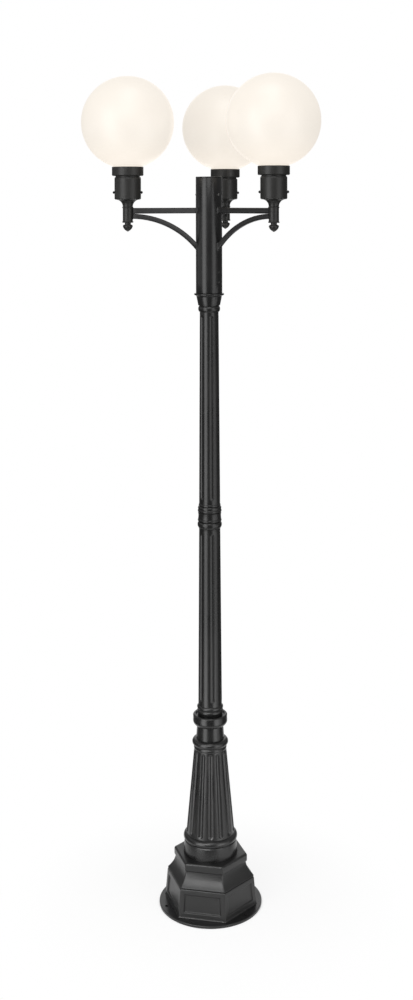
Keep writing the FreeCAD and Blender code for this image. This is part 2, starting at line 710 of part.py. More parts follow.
def lower_shaft():
    """Tapered fluted tube on a ringed foot that stands in the cup."""
    ring_z = SHAFT_Z + FOOT_STEM_HEIGHT
    groove_z = ring_z + FOOT_RING_HEIGHT
    tube = (
        Outline(LOWER_BORE, SHAFT_Z)
        .line(FOOT_STEM_RADIUS, SHAFT_Z)
        .line(FOOT_STEM_RADIUS, ring_z)
        .through(FOOT_RING_RADIUS, ring_z + FOOT_RING_HEIGHT / 2, FOOT_STEM_RADIUS, groove_z)
        .through(FOOT_RING_RADIUS, LOWER_Z - FOOT_RING_HEIGHT / 2, LOWER_FOOT_RADIUS, LOWER_Z)
        .line(LOWER_TOP_RADIUS, COUPLING_Z)
        .line(LOWER_BORE, COUPLING_Z)
        .turned()
    )
    return tube.cut(shaft_flutes((LOWER_FOOT_RADIUS, LOWER_Z), (LOWER_TOP_RADIUS, COUPLING_Z)))


def shaft_coupling():
    """Turned coupling with two beads, a waist and two beads, and a spigot into each shaft."""
    outline = (
        Outline(CABLE_WAY_RADIUS, COUPLING_Z - SPIGOT_LENGTH)
        .line(LOWER_BORE - FIT, COUPLING_Z - SPIGOT_LENGTH)
        .line(LOWER_BORE - FIT, COUPLING_Z)
        .line(LOWER_TOP_RADIUS, COUPLING_Z)
    )
    z = COUPLING_Z + COUPLING_SEAT_HEIGHT
    outline.line(LOWER_TOP_RADIUS + SEAM_CHAMFER, z)
    for radius, tall in zip(COUPLING_BEAD_RADII, COUPLING_BEAD_HEIGHTS):
        z += tall
        outline.through(radius, z - tall / 2, COUPLING_GROOVE_RADIUS, z)
    z += COUPLING_WAIST_HEIGHT
    dip = (COUPLING_WAIST_RADIUS - COUPLING_BEAD_RADII[-1]) / COUPLING_WAIST_HEIGHT / 2
    outline.line(COUPLING_BEAD_RADII[-1] - SEAM_CHAMFER, z - COUPLING_WAIST_HEIGHT)
    outline.bow(COUPLING_BEAD_RADII[-1] - SEAM_CHAMFER, z, dip)
    outline.line(COUPLING_GROOVE_RADIUS, z)
    ends = (COUPLING_GROOVE_RADIUS, UPPER_FOOT_RADIUS + SEAM_CHAMFER)
    for radius, tall, end in zip(COUPLING_TOP_BEAD_RADII, COUPLING_TOP_BEAD_HEIGHTS, ends):
        z += tall
        outline.through(radius, z - tall / 2, end, z)
    return (
        outline.line(UPPER_FOOT_RADIUS, UPPER_Z)
        .line(UPPER_BORE - FIT, UPPER_Z)
        .line(UPPER_BORE - FIT, UPPER_Z + SPIGOT_LENGTH)
        .line(CABLE_WAY_RADIUS, UPPER_Z + SPIGOT_LENGTH)
        .turned()
    )


def upper_shaft():
    """Tapered fluted tube with a ring round its top."""
    shoulder = (TOP_RING_RADIUS - UPPER_TOP_RADIUS) / 2
    tube = (
        Outline(UPPER_BORE, UPPER_Z)
        .line(UPPER_FOOT_RADIUS, UPPER_Z)
        .line(UPPER_TOP_RADIUS, TOP_RING_Z)
        .line(UPPER_TOP_RADIUS + shoulder, TOP_RING_Z + shoulder)
        .through(TOP_RING_RADIUS, TOP_RING_Z + TOP_RING_CREST, UPPER_TOP_RADIUS + shoulder, SOCKET_Z)
        .line(UPPER_BORE, SOCKET_Z)
        .turned()
    )
    return tube.cut(shaft_flutes((UPPER_FOOT_RADIUS, UPPER_Z), (UPPER_TOP_RADIUS, TOP_RING_Z)))


def head_socket():
    """Flared socket with a thin lip, a spigot into the shaft and a tall tenon that the head turns on."""
    lip_z = SOCKET_COVE_Z + SOCKET_COVE_HEIGHT
    tenon = COLUMN_BORE - FIT
    tenon_top = COLUMN_Z + TENON_LENGTH
    return (
        Outline(CABLE_WAY_RADIUS, SOCKET_Z - SPIGOT_LENGTH)
        .line(UPPER_BORE - FIT, SOCKET_Z - SPIGOT_LENGTH)
        .line(UPPER_BORE - FIT, SOCKET_Z)
        .line(SOCKET_FOOT_RADIUS, SOCKET_Z)
        .line(SOCKET_FOOT_RADIUS, SOCKET_Z + SOCKET_FOOT_HEIGHT)
        .line(SOCKET_CONE_RADIUS, SOCKET_COVE_Z)
        .bow(SOCKET_LIP_RADIUS - SEAM_CHAMFER, lip_z, -QUARTER_ROUND)
        .bow(SOCKET_LIP_RADIUS, lip_z + SOCKET_LIP_THICK / 2, QUARTER_ROUND)
        .bow(SOCKET_LIP_RADIUS - SEAM_CHAMFER, COLUMN_Z, QUARTER_ROUND)
        .line(tenon, COLUMN_Z)
        .line(tenon, tenon_top)
        .line(tenon - TENON_WALL, tenon_top)
        .line(tenon - TENON_WALL, COLUMN_Z)
        .line(CABLE_WAY_RADIUS, lip_z)
        .turned()
    )


def arm_bar(grow, start, end):
    """The outside of a level arm along +X between two distances from the post axis."""
    section = rounded_section(
        ARM_WIDE + 2 * grow, ARM_TALL + 2 * grow, ARM_CORNER + grow, start, ARM_Z
    )
    return section.extrude(FreeCAD.Vector(end - start, 0, 0))


def head_column():
    """Plain tube with slots for the arms and holes for the set screws and the cap's screws."""
    tube = ring(COLUMN_BORE, COLUMN_RADIUS, COLUMN_Z, COLUMN_TOP_Z)
    reach = COLUMN_RADIUS + CUT_PAST
    slot = arm_bar(SEAM_GAP, 0, reach)
    cap_hole = spoke(CAP_SCREW_RADIUS + FIT, 0, reach, COLUMN_TOP_Z - CAP_SCREW_DROP)
    cuts = around(slot, ARM_ANGLES) + around(cap_hole, ARM_ANGLES)
    for rise in SET_SCREW_RISES:
        cuts += around(spoke(SET_SCREW_RADIUS + FIT, 0, reach, COLUMN_Z + rise), ARM_ANGLES)
    return tube.cut(cuts)


def column_cap():
    """Flat round cap with a plug that the cap screws hold in the column."""
    plug = COLUMN_BORE - FIT
    top = COLUMN_TOP_Z + COLUMN_CAP_THICK
    cap = (
        Outline(0, COLUMN_TOP_Z)
        .line(plug - COLUMN_PLUG_WALL, COLUMN_TOP_Z)
        .line(plug - COLUMN_PLUG_WALL, COLUMN_TOP_Z - COLUMN_PLUG_LENGTH)
        .line(plug, COLUMN_TOP_Z - COLUMN_PLUG_LENGTH)
        .line(plug, COLUMN_TOP_Z)
        .line(COLUMN_RADIUS, COLUMN_TOP_Z)
        .line(COLUMN_RADIUS, top - COLUMN_CAP_ROUND)
        .bow(COLUMN_RADIUS - COLUMN_CAP_ROUND, top, QUARTER_ROUND)
        .line(0, top)
        .turned()
    )
    hole = spoke(CAP_SCREW_RADIUS + FIT, 0, COLUMN_RADIUS, COLUMN_TOP_Z - CAP_SCREW_DROP)
    return cap.cut(around(hole, ARM_ANGLES))


def cap_screws():
    """Round-head screws through the column into the cap's plug."""
    head_foot = COLUMN_RADIUS + SEAM_GAP
    screw = (
        Outline(0, head_foot - CAP_SCREW_LENGTH)
        .line(CAP_SCREW_RADIUS, head_foot - CAP_SCREW_LENGTH)
        .line(CAP_SCREW_RADIUS, head_foot)
        .line(CAP_SCREW_HEAD_RADIUS, head_foot)
        .dome(0, head_foot + CAP_SCREW_HEAD_HEIGHT)
        .turned()
    )
    return around(laid_out(screw, COLUMN_TOP_Z - CAP_SCREW_DROP), ARM_ANGLES)


def laid_out(shape, z):
    """A turned piece drawn upright, laid along +X at a height."""
    copy = shape.copy()
    copy.rotate(ORIGIN, FreeCAD.Vector(0, 1, 0), 90.0)
    copy.translate(FreeCAD.Vector(0, 0, z))
    return copy


def column_set_screws():
    """Set screws in two rows that clamp the column to the tenon."""
    tip = COLUMN_BORE - FIT + TIP_GAP
    screws = []
    for rise in SET_SCREW_RISES:
        screws += around(spoke(SET_SCREW_RADIUS, tip, COLUMN_RADIUS - TIP_GAP, COLUMN_Z + rise), ARM_ANGLES)
    return screws


def arm(angle):
    """Level tube from inside the column to the hub, coped round the hub."""
    start = COLUMN_BORE - ARM_INSIDE_COLUMN
    outside = arm_bar(0, start, ARM_REACH)
    bore = arm_bar(-ARM_WALL, start, ARM_REACH)
    hub_room = upright(HUB_RADIUS + SEAM_GAP, 2 * ARM_TALL, ARM_REACH, ARM_Z - ARM_TALL)
    return rotated(outside.cut([bore, hub_room]), angle)


def brace(angle):
    """Curved bar that leaves the hub level under the arm and runs down to the column."""
    top_x = ARM_REACH - HUB_RADIUS + BRACE_INSIDE_HUB
    top_z = ARM_Z - BRACE_DROP
    centre = FreeCAD.Vector(top_x, 0, top_z - BRACE_RADIUS)
    section = rounded_section(BRACE_WIDE, BRACE_TALL, BRACE_CORNER, top_x, top_z)
    sweep = math.degrees(math.asin((top_x - COLUMN_BORE + BRACE_TALL) / BRACE_RADIUS))
    bar = section.revolve(centre, FreeCAD.Vector(0, -1, 0), sweep)
    hub_room = upright(HUB_RADIUS + SEAM_GAP, 3 * BRACE_TALL, ARM_REACH, top_z - 1.5 * BRACE_TALL)
    column_room = upright(COLUMN_RADIUS + SEAM_GAP, COLUMN_HEIGHT, 0, COLUMN_Z)
    return rotated(bar.cut([hub_room, column_room]), angle)


def hub(angle):
    """Stem tube with a bead round each end and a wire hole towards the column."""
    high = BELL_Z
    bead_top = HUB_Z + HUB_BEAD_HEIGHT + TIP_GAP
    bead_low = high - HUB_BEAD_HEIGHT - TIP_GAP
    body = (
        Outline(HUB_BORE, HUB_Z)
        .line(HUB_RADIUS, HUB_Z)
        .line(HUB_RADIUS, HUB_Z + TIP_GAP)
        .through(HUB_BEAD_RADIUS, HUB_Z + TIP_GAP + HUB_BEAD_HEIGHT / 2, HUB_RADIUS, bead_top)
        .line(HUB_RADIUS, bead_low)
        .through(HUB_BEAD_RADIUS, bead_low + HUB_BEAD_HEIGHT / 2, HUB_RADIUS, high - TIP_GAP)
        .line(HUB_RADIUS, high)
        .line(HUB_BORE, high)
        .turned()
    )
    wire_hole = spoke(HUB_WIRE_HOLE, -HUB_BEAD_RADIUS, 0, LEAD_Z)
    return out_to_lamp(body.cut(wire_hole), angle)


def finials():
    """Turned buds under the hubs, tapped for the nipples that they close."""
    widest = HUB_Z - FINIAL_NECK_HEIGHT - FINIAL_SHOULDER
    tip = widest - FINIAL_TAPER
    hole = NIPPLE_RADIUS + FIT
    hole_foot = HUB_Z - NIPPLE_IN_FINIAL - SEAM_GAP
    body = (
        Outline(0, tip)
        .dome(FINIAL_TIP_RADIUS, tip + FINIAL_TIP_RADIUS / 2)
        .bow(FINIAL_RADIUS, widest, SOFT_ROUND)
        .bow(FINIAL_NECK_RADIUS, widest + FINIAL_SHOULDER, QUARTER_ROUND)
        .line(FINIAL_NECK_RADIUS, HUB_Z)
        .line(hole, HUB_Z)
        .line(hole, hole_foot)
        .line(0, hole_foot)
        .turned()
    )
    return [out_to_lamp(body, angle) for angle in ARM_ANGLES]


def bell(angle):
    """Flared bell between the hub and the fitter cup, drilled for the nipple."""
    hole = NIPPLE_RADIUS + FIT
    body = (
        Outline(hole, BELL_Z)
        .line(HUB_RADIUS, BELL_Z)
        .line(HUB_RADIUS, BELL_Z + BELL_FOOT_HEIGHT)
        .bow(BELL_TOP_RADIUS, FITTER_Z - BELL_RIM, -QUARTER_ROUND)
        .line(BELL_TOP_RADIUS, FITTER_Z)
        .line(hole, FITTER_Z)
        .turned()
    )
    return out_to_lamp(body, angle)


def nipples():
    """Threaded pipes from the finials up to the lampholders, slotted where the leads turn off."""
    low = HUB_Z - NIPPLE_IN_FINIAL
    high = HOLDER_Z + NIPPLE_IN_HOLDER
    pipe = ring(NIPPLE_BORE, NIPPLE_RADIUS, low, high)
    slot = Part.makeBox(
        NIPPLE_RADIUS + CUT_PAST,
        2 * NIPPLE_BORE,
        NIPPLE_SLOT_TALL,
        FreeCAD.Vector(-NIPPLE_RADIUS - CUT_PAST, -NIPPLE_BORE, ARM_Z - NIPPLE_SLOT_TALL / 2),
    )
    return [out_to_lamp(pipe.cut(slot), angle) for angle in ARM_ANGLES]


def locknuts():
    """Hexagonal nuts that clamp the stems from inside the fitter cups."""
    low = FITTER_Z + FITTER_FLOOR
    nut = Part.Face(hexagon(LOCKNUT_RADIUS, low)).extrude(UP * LOCKNUT_THICK)
    nut = nut.cut(upright(NIPPLE_RADIUS + FIT, LOCKNUT_THICK, 0, low))
    return [out_to_lamp(nut, angle) for angle in ARM_ANGLES]


def fitter_cup(angle):
    """Round cup on the bell with two tapped holes for the thumbscrews."""
    hole = NIPPLE_RADIUS + FIT
    floor_z = FITTER_Z + FITTER_FLOOR
    body = (
        Outline(hole, FITTER_Z)
        .line(FITTER_RADIUS - FITTER_CHAMFER, FITTER_Z)
        .bow(FITTER_RADIUS, FITTER_Z + FITTER_CHAMFER, QUARTER_ROUND)
        .line(FITTER_RADIUS, FITTER_TOP_Z - FITTER_SHOULDER)
        .bow(FITTER_TOP_RADIUS, FITTER_TOP_Z, SOFT_ROUND / 2)
        .line(FITTER_BORE, FITTER_TOP_Z)
        .line(FITTER_BORE, floor_z)
        .line(hole, floor_z)
        .turned()
    )
    tapped = spoke(THUMB_SHANK_RADIUS + FIT, 0, FITTER_RADIUS + CUT_PAST, FITTER_Z + THUMB_RISE)
    holes = around(tapped, (THUMB_ANGLE - angle, THUMB_ANGLE - angle + 180.0))
    return out_to_lamp(body.cut(holes), angle)


def thumbscrew(angle, turn):
    """Dome-head screw through the cup's wall, a tip gap short of the neck tube."""
    tip = NECK_TUBE_RADIUS + TIP_GAP
    head = FITTER_RADIUS + THUMB_HEAD_STANDOFF
    dome = head + THUMB_HEAD_SKIRT
    screw = (
        Outline(0, tip)
        .line(THUMB_SHANK_RADIUS, tip)
        .line(THUMB_SHANK_RADIUS, head)
        .line(THUMB_HEAD_RADIUS, head)
        .line(THUMB_HEAD_RADIUS, dome)
        .dome(0, dome + THUMB_HEAD_DOME)
        .turned()
    )
    screw = laid_out(screw, FITTER_Z + THUMB_RISE)
    return out_to_lamp(rotated(screw, THUMB_ANGLE - angle + turn), angle)


def collar(angle):
    """Ring that holds the globe's neck, with a floor bored for the neck tube."""
    socket = GLOBE_NECK_RADIUS + TIP_GAP
    bore = NECK_TUBE_RADIUS + FIT
    floor_z = COLLAR_Z + COLLAR_FLOOR
    body = (
        Outline(bore, COLLAR_Z)
        .line(COLLAR_RADIUS - COLLAR_ROUND, COLLAR_Z)
        .bow(COLLAR_RADIUS, COLLAR_Z + COLLAR_ROUND, QUARTER_ROUND)
        .line(COLLAR_RADIUS, COLLAR_TOP_Z - COLLAR_ROUND)
        .bow(COLLAR_RADIUS - COLLAR_ROUND, COLLAR_TOP_Z, QUARTER_ROUND)
        .line(socket, COLLAR_TOP_Z)
        .line(socket, floor_z)
        .line(bore, floor_z)
        .turned()
    )
    return out_to_lamp(body, angle)


def neck_tube(angle):
    """Tube pressed into the collar's floor that stands in the fitter cup."""
    low = FITTER_Z + FITTER_FLOOR
    return out_to_lamp(ring(NECK_TUBE_BORE, NECK_TUBE_RADIUS, low, COLLAR_Z + COLLAR_FLOOR), angle)


def gasket(angle):
    """Flat rubber ring under the globe's neck."""
    low = COLLAR_Z + COLLAR_FLOOR
    return out_to_lamp(ring(NECK_TUBE_BORE, GLOBE_NECK_RADIUS, low, low + GASKET_THICK), angle)


def globe(angle):
    """Opal sphere with an open neck."""
    inner = GLOBE_RADIUS - GLOBE_WALL
    neck_inner = GLOBE_NECK_RADIUS - GLOBE_WALL
    outer_join = GLOBE_Z - math.sqrt(GLOBE_RADIUS ** 2 - GLOBE_NECK_RADIUS ** 2)
    inner_join = GLOBE_Z - math.sqrt(inner ** 2 - neck_inner ** 2)
    body = (
        Outline(neck_inner, GLOBE_FOOT_Z)
        .line(GLOBE_NECK_RADIUS, GLOBE_FOOT_Z)
        .line(GLOBE_NECK_RADIUS, outer_join)
        .through(GLOBE_RADIUS, GLOBE_Z, 0, GLOBE_Z + GLOBE_RADIUS)
        .line(0, GLOBE_Z + inner)
        .through(inner, GLOBE_Z, neck_inner, inner_join)
        .line(neck_inner, GLOBE_FOOT_Z)
        .turned()
    )
    return out_to_lamp(body, angle)


def lampholder(angle):
    """Moulded holder screwed on the nipple, hollow above for the screw shell."""
    body = (
        Outline(NIPPLE_RADIUS + FIT, HOLDER_Z)
        .line(HOLDER_RADIUS, HOLDER_Z)
        .line(HOLDER_RADIUS, HOLDER_Z + HOLDER_HEIGHT)
        .line(SHELL_RADIUS + FIT, HOLDER_Z + HOLDER_HEIGHT)
        .line(SHELL_RADIUS + FIT, SHELL_Z)
        .line(NIPPLE_RADIUS + FIT, SHELL_Z)
        .turned()
    )
    return out_to_lamp(body, angle)


def screw_shells():
    """Thin screw shells that stand in the lampholders."""
    shell = ring(SHELL_RADIUS - SHELL_WALL, SHELL_RADIUS, SHELL_Z, SHELL_Z + SHELL_HEIGHT)
    return [out_to_lamp(shell, angle) for angle in ARM_ANGLES]


def bulb(angle):
    """Tubular bulb on its screw cap, with its contact on the holder's floor."""
    cap_z = SHELL_Z + BULB_CONTACT_HEIGHT
    cap_top = cap_z + BULB_CAP_HEIGHT
    tube_z = cap_top + BULB_SHOULDER_HEIGHT
    tube_top = tube_z + BULB_TUBE_HEIGHT
    contact = NIPPLE_RADIUS + BULB_CONTACT_RADIUS
    body = (
        Outline(0, SHELL_Z)
        .line(contact, SHELL_Z)
        .line(BULB_CAP_RADIUS, cap_z)
        .line(BULB_CAP_RADIUS, cap_top)
        .bow(BULB_RADIUS, tube_z, QUARTER_ROUND)
        .line(BULB_RADIUS, tube_top)
        .dome(0, tube_top + BULB_DOME_HEIGHT)
        .turned()
    )
    return out_to_lamp(body, angle)


def lamp_leads():
    """Flexible leads from the lampholders down the nipples and along the arm floors into the column."""
    top = FreeCAD.Vector(0, 0, HOLDER_Z + NIPPLE_IN_HOLDER)
    bend_top = FreeCAD.Vector(0, 0, LEAD_Z + LEAD_BEND)
    bend_end = FreeCAD.Vector(-LEAD_BEND, 0, LEAD_Z)
    inside = LEAD_BEND * (1 - math.sqrt(0.5))
    bend_middle = FreeCAD.Vector(-inside, 0, LEAD_Z + inside)
    column_end = FreeCAD.Vector(CONNECTOR_FROM_AXIS + CONNECTOR_LENGTH - ARM_REACH, 0, LEAD_Z)
    path = Part.Wire([
        Part.LineSegment(top, bend_top).toShape(),
        Part.Arc(bend_top, bend_middle, bend_end).toShape(),
        Part.LineSegment(bend_end, column_end).toShape(),
    ])
    section = Part.Wire(Part.makeCircle(LEAD_RADIUS, top, UP))
    lead = path.makePipeShell([section], True, False)
    return [out_to_lamp(lead, angle) for angle in ARM_ANGLES]


def wire_connectors():
    """Tapered wire caps on the ends of the leads inside the column."""
    cap = (
        Outline(0, CONNECTOR_FROM_AXIS)
        .line(CONNECTOR_TIP_RADIUS, CONNECTOR_FROM_AXIS)
        .line(CONNECTOR_RADIUS, CONNECTOR_FROM_AXIS + CONNECTOR_LENGTH)
        .line(0, CONNECTOR_FROM_AXIS + CONNECTOR_LENGTH)
        .turned()
    )
    return around(laid_out(cap, LEAD_Z), ARM_ANGLES)


def save(name, *solids):
    """Writes one node as a STEP file."""
    for solid in solids:
        if not solid.isValid() or solid.Volume <= 0:
            raise ValueError(f"{name} is not a sound solid")
    shape = solids[0] if len(solids) == 1 else Part.makeCompound(list(solids))
    shape.exportStep(f"parts/{name}.step")


os.makedirs("parts", exist_ok=True)

save("base_plate", base_plate())
save("plate_screws", *plate_screws())
save("hex_pedestal", hex_pedestal())
save("pedestal_cap", pedestal_cap())
save("section_bolts", *section_bolts())
save("fluted_cone", fluted_cone())
save("shaft_cup", shaft_cup())
save("lower_shaft", lower_shaft())
save("shaft_coupling", shaft_coupling())
save("upper_shaft", upper_shaft())
save("head_socket", head_socket())
save("head_column", head_column())
save("column_cap", column_cap())
save("cap_screws", *cap_screws())
save("column_set_screws", *column_set_screws())
save("nipples", *nipples())
save("locknuts", *locknuts())
save("finials", *finials())
save("screw_shells", *screw_shells())
save("lamp_leads", *lamp_leads())
save("wire_connectors", *wire_connectors())
for number, arm_angle in enumerate(ARM_ANGLES, start=1):
    save(f"arm_{number}", arm(arm_angle))
    save(f"brace_{number}", brace(arm_angle))
    save(f"hub_{number}", hub(arm_angle))
    save(f"bell_{number}", bell(arm_angle))
    save(f"fitter_cup_{number}", fitter_cup(arm_angle))
    save(f"thumbscrew_{number}a", thumbscrew(arm_angle, 0.0))
    save(f"thumbscrew_{number}b", thumbscrew(arm_angle, 180.0))
    save(f"collar_{number}", collar(arm_angle))
    save(f"neck_tube_{number}", neck_tube(arm_angle))
    save(f"gasket_{number}", gasket(arm_angle))
    save(f"globe_{number}", globe(arm_angle))
    save(f"lampholder_{number}", lampholder(arm_angle))
    save(f"bulb_{number}", bulb(arm_angle))
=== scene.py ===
import math

import bmesh
import bpy
import numpy as np
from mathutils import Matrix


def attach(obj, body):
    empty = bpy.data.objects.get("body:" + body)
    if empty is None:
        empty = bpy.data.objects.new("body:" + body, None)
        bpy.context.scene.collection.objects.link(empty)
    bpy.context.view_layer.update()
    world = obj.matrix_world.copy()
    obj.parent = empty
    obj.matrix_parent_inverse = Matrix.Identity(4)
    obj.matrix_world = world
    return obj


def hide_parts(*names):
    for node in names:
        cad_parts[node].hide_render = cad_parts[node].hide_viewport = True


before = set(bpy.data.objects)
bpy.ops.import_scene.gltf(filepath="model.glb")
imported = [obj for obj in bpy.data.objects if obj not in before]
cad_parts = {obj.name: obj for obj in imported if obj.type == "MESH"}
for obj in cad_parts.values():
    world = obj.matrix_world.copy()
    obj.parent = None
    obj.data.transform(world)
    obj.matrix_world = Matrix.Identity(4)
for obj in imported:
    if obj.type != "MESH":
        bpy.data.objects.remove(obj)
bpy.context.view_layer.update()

# Round base plate
# Steel plate with three anchor holes and a cable entry, powder coated satin black.
# It lies on the ground and is held under the pedestal by countersunk screws.

MILLIMETRE = 0.001


class Wire:
    """A socket in a finish's node tree. Arithmetic on wires adds Math nodes."""

    MIDDLE = (0.3, 0.7)

    def __init__(self, tree, socket=None):
        self.tree = tree
        self.socket = socket

    def node(self, kind, settings, inputs, out=0):
        """Adds a node with its settings, gives its sockets values or wires, and returns one output."""
        made = self.tree.nodes.new(kind)
        for key, value in settings.items():
            setattr(made, key, value)
        for key, value in inputs.items():
            if isinstance(value, Wire):
                self.tree.links.new(value.socket, made.inputs[key])
            else:
                made.inputs[key].default_value = value
        return Wire(self.tree, made.outputs[out])

    def math(self, operation, first, second):
        """A Math node on two wires or numbers."""
        return self.node("ShaderNodeMath", {"operation": operation}, {0: first, 1: second})

    def __add__(self, other):
        return self.math("ADD", self, other)

    def __mul__(self, other):
        return self.math("MULTIPLY", self, other)

    __radd__ = __add__
    __rmul__ = __mul__

    def noise(self, scale, detail=2.0):
        """Even noise on the piece's own coordinates, with so many bumps to the metre."""
        place = self.node("ShaderNodeTexCoord", {}, {}, "Object")
        return self.node("ShaderNodeTexNoise", {}, {"Vector": place, "Scale": scale, "Detail": detail})

    def spread(self, low, high):
        """This wire's middle range stretched to run from one number to another, clamped."""
        ends = {1: self.MIDDLE[0], 2: self.MIDDLE[1], 3: low, 4: high}
        return self.node("ShaderNodeMapRange", {"clamp": True}, {"Value": self, **ends})

    def between(self, first, second):
        """A colour between two, mixed by this wire."""
        ends = {6: (*first, 1), 7: (*second, 1)}
        return self.node("ShaderNodeMix", {"data_type": "RGBA"}, {0: self, **ends}, 2)

    def bump(self, depth):
        """A normal from this wire as a height, at most so many millimetres deep."""
        return self.node("ShaderNodeBump", {}, {"Height": self, "Distance": depth * MILLIMETRE})


def finish(name, fixed, varied):
    """A material: fixed numbers sit on the shader's own sockets, varied ones come from wires."""
    made = bpy.data.materials.new(name)
    made.use_nodes = True
    tree = made.node_tree
    shader = tree.nodes["Principled BSDF"]
    for socket, value in fixed.items():
        shader.inputs[socket].default_value = value
    for socket, wire in varied(Wire(tree)).items():
        tree.links.new(wire.socket, shader.inputs[socket])
    return made


def powder_coat(dark, pale, ripple_depth, gloss=(0.25, 0.33)):
    """Satin powder coat: orange peel over a faint ripple of the metal, duller where it lies thick."""
    peel_scale = 650.0
    ripple_scale = 38.0
    cloud_scale = 7.0

    def varied(wire):
        peel = wire.noise(peel_scale)
        ripple = wire.noise(ripple_scale, 3.0)
        cloud = wire.noise(cloud_scale)
        return {
            "Base Color": (0.7 * cloud + 0.3 * peel).spread(0.0, 1.0).between(dark, pale),
            "Roughness": (0.6 * cloud + 0.4 * ripple).spread(*gloss),
            "Normal": (0.2 * peel + ripple).bump(ripple_depth),
        }

    return varied


def dress(coat, *nodes):
    """Gives carried-over CAD nodes their finish."""
    for node in nodes:
        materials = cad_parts[node].data.materials
        materials.clear()
        materials.append(coat)


COAT_GLOSS = {"IOR": 1.5}
rolled_black = finish(
    "black_coat_on_rolled_steel",
    COAT_GLOSS,
    powder_coat((0.0055, 0.0055, 0.0058), (0.0095, 0.0095, 0.0098), ripple_depth=0.06),
)
dress(rolled_black, "base_plate")

# Countersunk screws of the base plate
# Bare steel screws that come up through the plate into the pedestal's bosses.
# Their heads lie flush with the underside.


def turned_metal(first, second, gloss):
    """Bare metal with fine scatter in its tone and gloss."""
    grain_scale = 420.0
    grain_depth = 0.03

    def varied(wire):
        grain = wire.noise(grain_scale, 3.0)
        return {
            "Base Color": grain.spread(0.0, 1.0).between(first, second),
            "Roughness": grain.spread(*gloss),
            "Normal": grain.bump(grain_depth),
        }

    return varied


plain_steel = finish(
    "plain_steel",
    {"Metallic": 1.0},
    turned_metal((0.50, 0.50, 0.49), (0.62, 0.61, 0.60), gloss=(0.28, 0.42)),
)
dress(plain_steel, "plate_screws", "section_bolts", "locknuts")

# Hexagonal pedestal
# Hollow aluminium casting with six leaning flats, a recessed panel in each and a small lip at the foot.
# It is powder coated black, stands on the base plate, and its corners and head are eased.

ARC_STEP = math.radians(6.0)
SHARP_TURN = math.radians(20.0)
QUARTER_BOW = 0.2071


def course(*legs, ease=0.0):
    """Profile points in radius and height, in millimetres.

    A leg (radius, height) runs straight to its point. A leg (radius, height, bow) is an arc that stands out
    to the right of the way by bow times its chord: its half angle is 2 atan(2 bow), so that QUARTER_BOW
    makes a quarter circle. Corners are then rounded by ease.
    """
    runs = [np.array([legs[0][:2]], float)]
    for leg in legs[1:]:
        start = runs[-1][-1]
        end = np.array(leg[:2], float)
        if len(leg) == 2:
            runs.append(end[None])
            continue
        half = 2 * math.atan(2 * leg[2])
        turn = np.linspace(-half, half, math.ceil(2 * abs(half) / ARC_STEP) + 2)[1:, None]
        way = end - start
        right = np.array([way[1], -way[0]])
        along = np.sin(turn) / math.sin(half) / 2
        out = (np.cos(turn) - math.cos(half)) / math.sin(half) / 2
        runs.append((start + end) / 2 + along * way + out * right)
    points = np.vstack(runs)
    return eased(points, ease) if ease else points


def eased(points, radius):
    """The same profile with each sharp corner P replaced by the curve (1-s)^2 A + 2s(1-s) P + s^2 B.

    A and B lie before and after P by radius times the tangent of half the turn, or less on short legs.
    """
    leg_share = 0.45
    corner_points = 6
    least_step = 1e-5
    legs = np.diff(points, axis=0)
    length = np.linalg.norm(legs, axis=1)
    way = legs / length[:, None]
    turn = np.arccos(np.clip((way[:-1] * way[1:]).sum(axis=1), -1, 1))
    room = leg_share * np.minimum(length[:-1], length[1:])
    cut = np.where(turn > SHARP_TURN, np.minimum(radius * np.tan(turn / 2), room), 0.0)[:, None, None]
    corner = points[1:-1, None]
    share = np.linspace(0, 1, corner_points)[None, :, None]
    first = corner - cut * way[:-1, None]
    last = corner + cut * way[1:, None]
    curve = (1 - share) ** 2 * first + 2 * share * (1 - share) * corner + share ** 2 * last
    curve = np.vstack((points[:1], curve.reshape(-1, 2), points[-1:]))
    moved = np.linalg.norm(np.diff(curve, axis=0), axis=1) > least_step
    return curve[np.concatenate(([True], moved))]


def cells(grid, start=0):
    """The quads between a grid's points, as point numbers that count from start."""
    rows, columns = grid.shape[:2]
    index = start + np.arange(rows * columns).reshape(rows, columns)
    corners = (index[:-1, :-1], index[:-1, 1:], index[1:, 1:], index[1:, :-1])
    return np.stack(corners, axis=-1).reshape(-1, 4)


def piece(name, coat, slot, body, nodes, *grids):
    """One mesh from grids of points in millimetres, whose seams and poles are merged.

    It rides on a body and stands for the CAD nodes named.
    """
    merge_within = 2e-6
    no_length = 1e-7
    crease = math.radians(38.0)
    sizes = [grid.shape[0] * grid.shape[1] for grid in grids]
    starts = np.concatenate(([0], np.cumsum(sizes)[:-1]))
    quads = np.vstack([cells(grid, start) for grid, start in zip(grids, starts)])
    points = np.vstack([grid.reshape(-1, 3) for grid in grids]) * MILLIMETRE
    mesh = bpy.data.meshes.new(name)
    mesh.vertices.add(len(points))
    mesh.vertices.foreach_set("co", points.ravel())
    mesh.loops.add(quads.size)
    mesh.loops.foreach_set("vertex_index", quads.ravel())
    mesh.polygons.add(len(quads))
    mesh.polygons.foreach_set("loop_start", np.arange(len(quads)) * 4)
    mesh.update(calc_edges=True)
    merged = bmesh.new()
    merged.from_mesh(mesh)
    bmesh.ops.remove_doubles(merged, verts=merged.verts, dist=merge_within)
    bmesh.ops.dissolve_degenerate(merged, edges=merged.edges, dist=no_length)
    merged.to_mesh(mesh)
    merged.free()
    mesh.polygons.foreach_set("use_smooth", np.ones(len(mesh.polygons), bool))
    mesh.set_sharp_from_angle(angle=crease)
    mesh.materials.append(coat)
    made = bpy.data.objects.new(name, mesh)
    bpy.context.scene.collection.objects.link(made)
    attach(made, body)
    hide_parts(*nodes)


